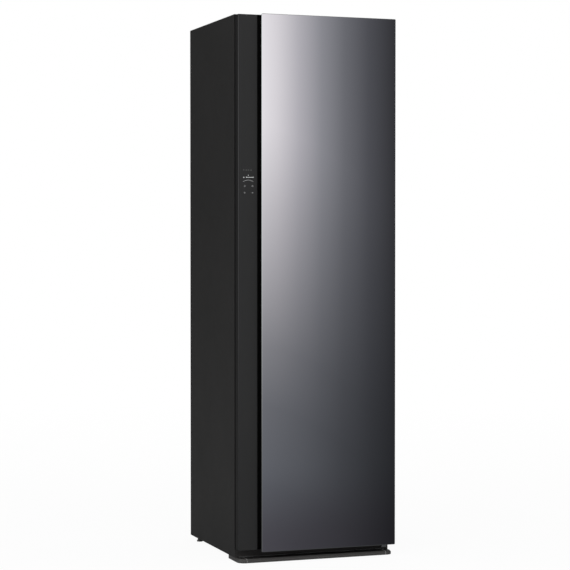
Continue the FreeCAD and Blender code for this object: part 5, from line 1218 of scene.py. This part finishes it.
def dress_rigid_nodes(paint):
    """Rounds the edges of what shows, by millimetres, and coats what keeps its own mesh."""
    pieces = {}
    for width, finish, nodes in (
            (0.4, "case", ("side_panel_left", "side_panel_right")), (0.6, "case", ("top_cover",)),
            # The kick plate takes the lighter copy of the case coat, with light painted into its
            # colour.
            (0.5, "kick", ("kick_plate",)), (0.6, "frame", ("front_frame",)),
            (0.7, "door", ("door_shell",)), (0.25, "strip", ("control_strip",)),
            (0.4, "grip", ("grip_channel",)), (0.6, "grip", ("mirror_carrier",)),
            (1.0, "cover", ("foot_cover_bar", "foot_cover_caps")),
            (0.6, "cover", ("levelling_feet", "cord_gland")),
            (0.4, "zinc", ("base_tray", "drive_frame")), (0.3, "zinc", ("back_panel",)),
            (0.8, "liner", ("liner_left", "liner_right", "liner_back", "chamber_ceiling")),
            (0.8, "door_liner", ("door_liner",)),
            (0.6, "liner", ("press_brackets",)), (0.8, "inner", ("chamber_floor",)),
            (0.4, "inner", ("outlet_grille", "aroma_cassette", "lint_filter")),
            (0.6, "inner", ("tank_bay", "duct_tray")), (0.6, "shelf", ("shelf",)),
            (0.8, "press", ("press_plate",)), (0.6, "press", ("press_latch",)),
            (1.2, "tank", ("supply_tank", "drain_tank")),
            (0.4, "rail", ("hanger_rail", "steam_nozzle")),
            (0.8, "mould", ("steam_generator",)), (0.4, "mould", ("hanger_carriage",))):
        for node in nodes:
            pieces[node] = soften(node, width * MM, paint[finish])
    painted_shade_fold = shadow_gap("shadow_gap")
    # Painted shade: the side panels' front folds, in the seam behind the door, get the dull black
    # of shade.
    for node in ("side_panel_left", "side_panel_right"):
        touch_up(pieces[node], painted_shade_fold, lambda normal, centre: normal.y < -0.8)
    bottom_edge, top_edge = 49.5 * MM, 1952.5 * MM
    touch_up(pieces["door_liner"], paint["door"],
             lambda normal, centre: not bottom_edge <= centre.z <= top_edge)
    # Painted shade: the foot cover's top faces get the darker copy of its plastic.
    for node in ("foot_cover_bar", "foot_cover_caps"):
        touch_up(pieces[node], paint["cover_top"], lambda normal, centre: normal.z > 0.9)
    touch_up(pieces["control_strip"], polished_rim("strip_rim"),
             lambda normal, centre: normal.x < -0.5 and normal.y < -0.5)
    for finish, nodes in (
            ("rod", ("guide_rods",)), ("zinc", ("hinge_brackets",)),
            ("cast", ("drive_motor", "blower_motor", "water_pumps", "control_box")),
            ("copper", ("refrigerant_pipes",)), ("strip", ("display_module",)),
            ("inner", ("blower_housing",)), ("opal", ("chamber_light",)),
            ("mould", ("crank_pulley", "motor_pulley", "blower_wheel", "hinge_bushes"))):
        for node in nodes:
            coat(node, paint[finish])


set_camera()
set_studio()
paint = make_finishes()
dress_rigid_nodes(paint)
mirror_pane()
display_marks()
fasteners(paint)
louvre_hoods(paint)
heat_exchanger("evaporator", paint)
heat_exchanger("condenser", paint)
toothed_belt(paint)
ribbed_hose(paint)
door_seal(paint)
compressor_set(paint)
insulation_boards(paint)
filter_mesh(paint)
tank_caps(paint)
light_segments(paint)
trim(paint)

bpy.context.view_layer.update()
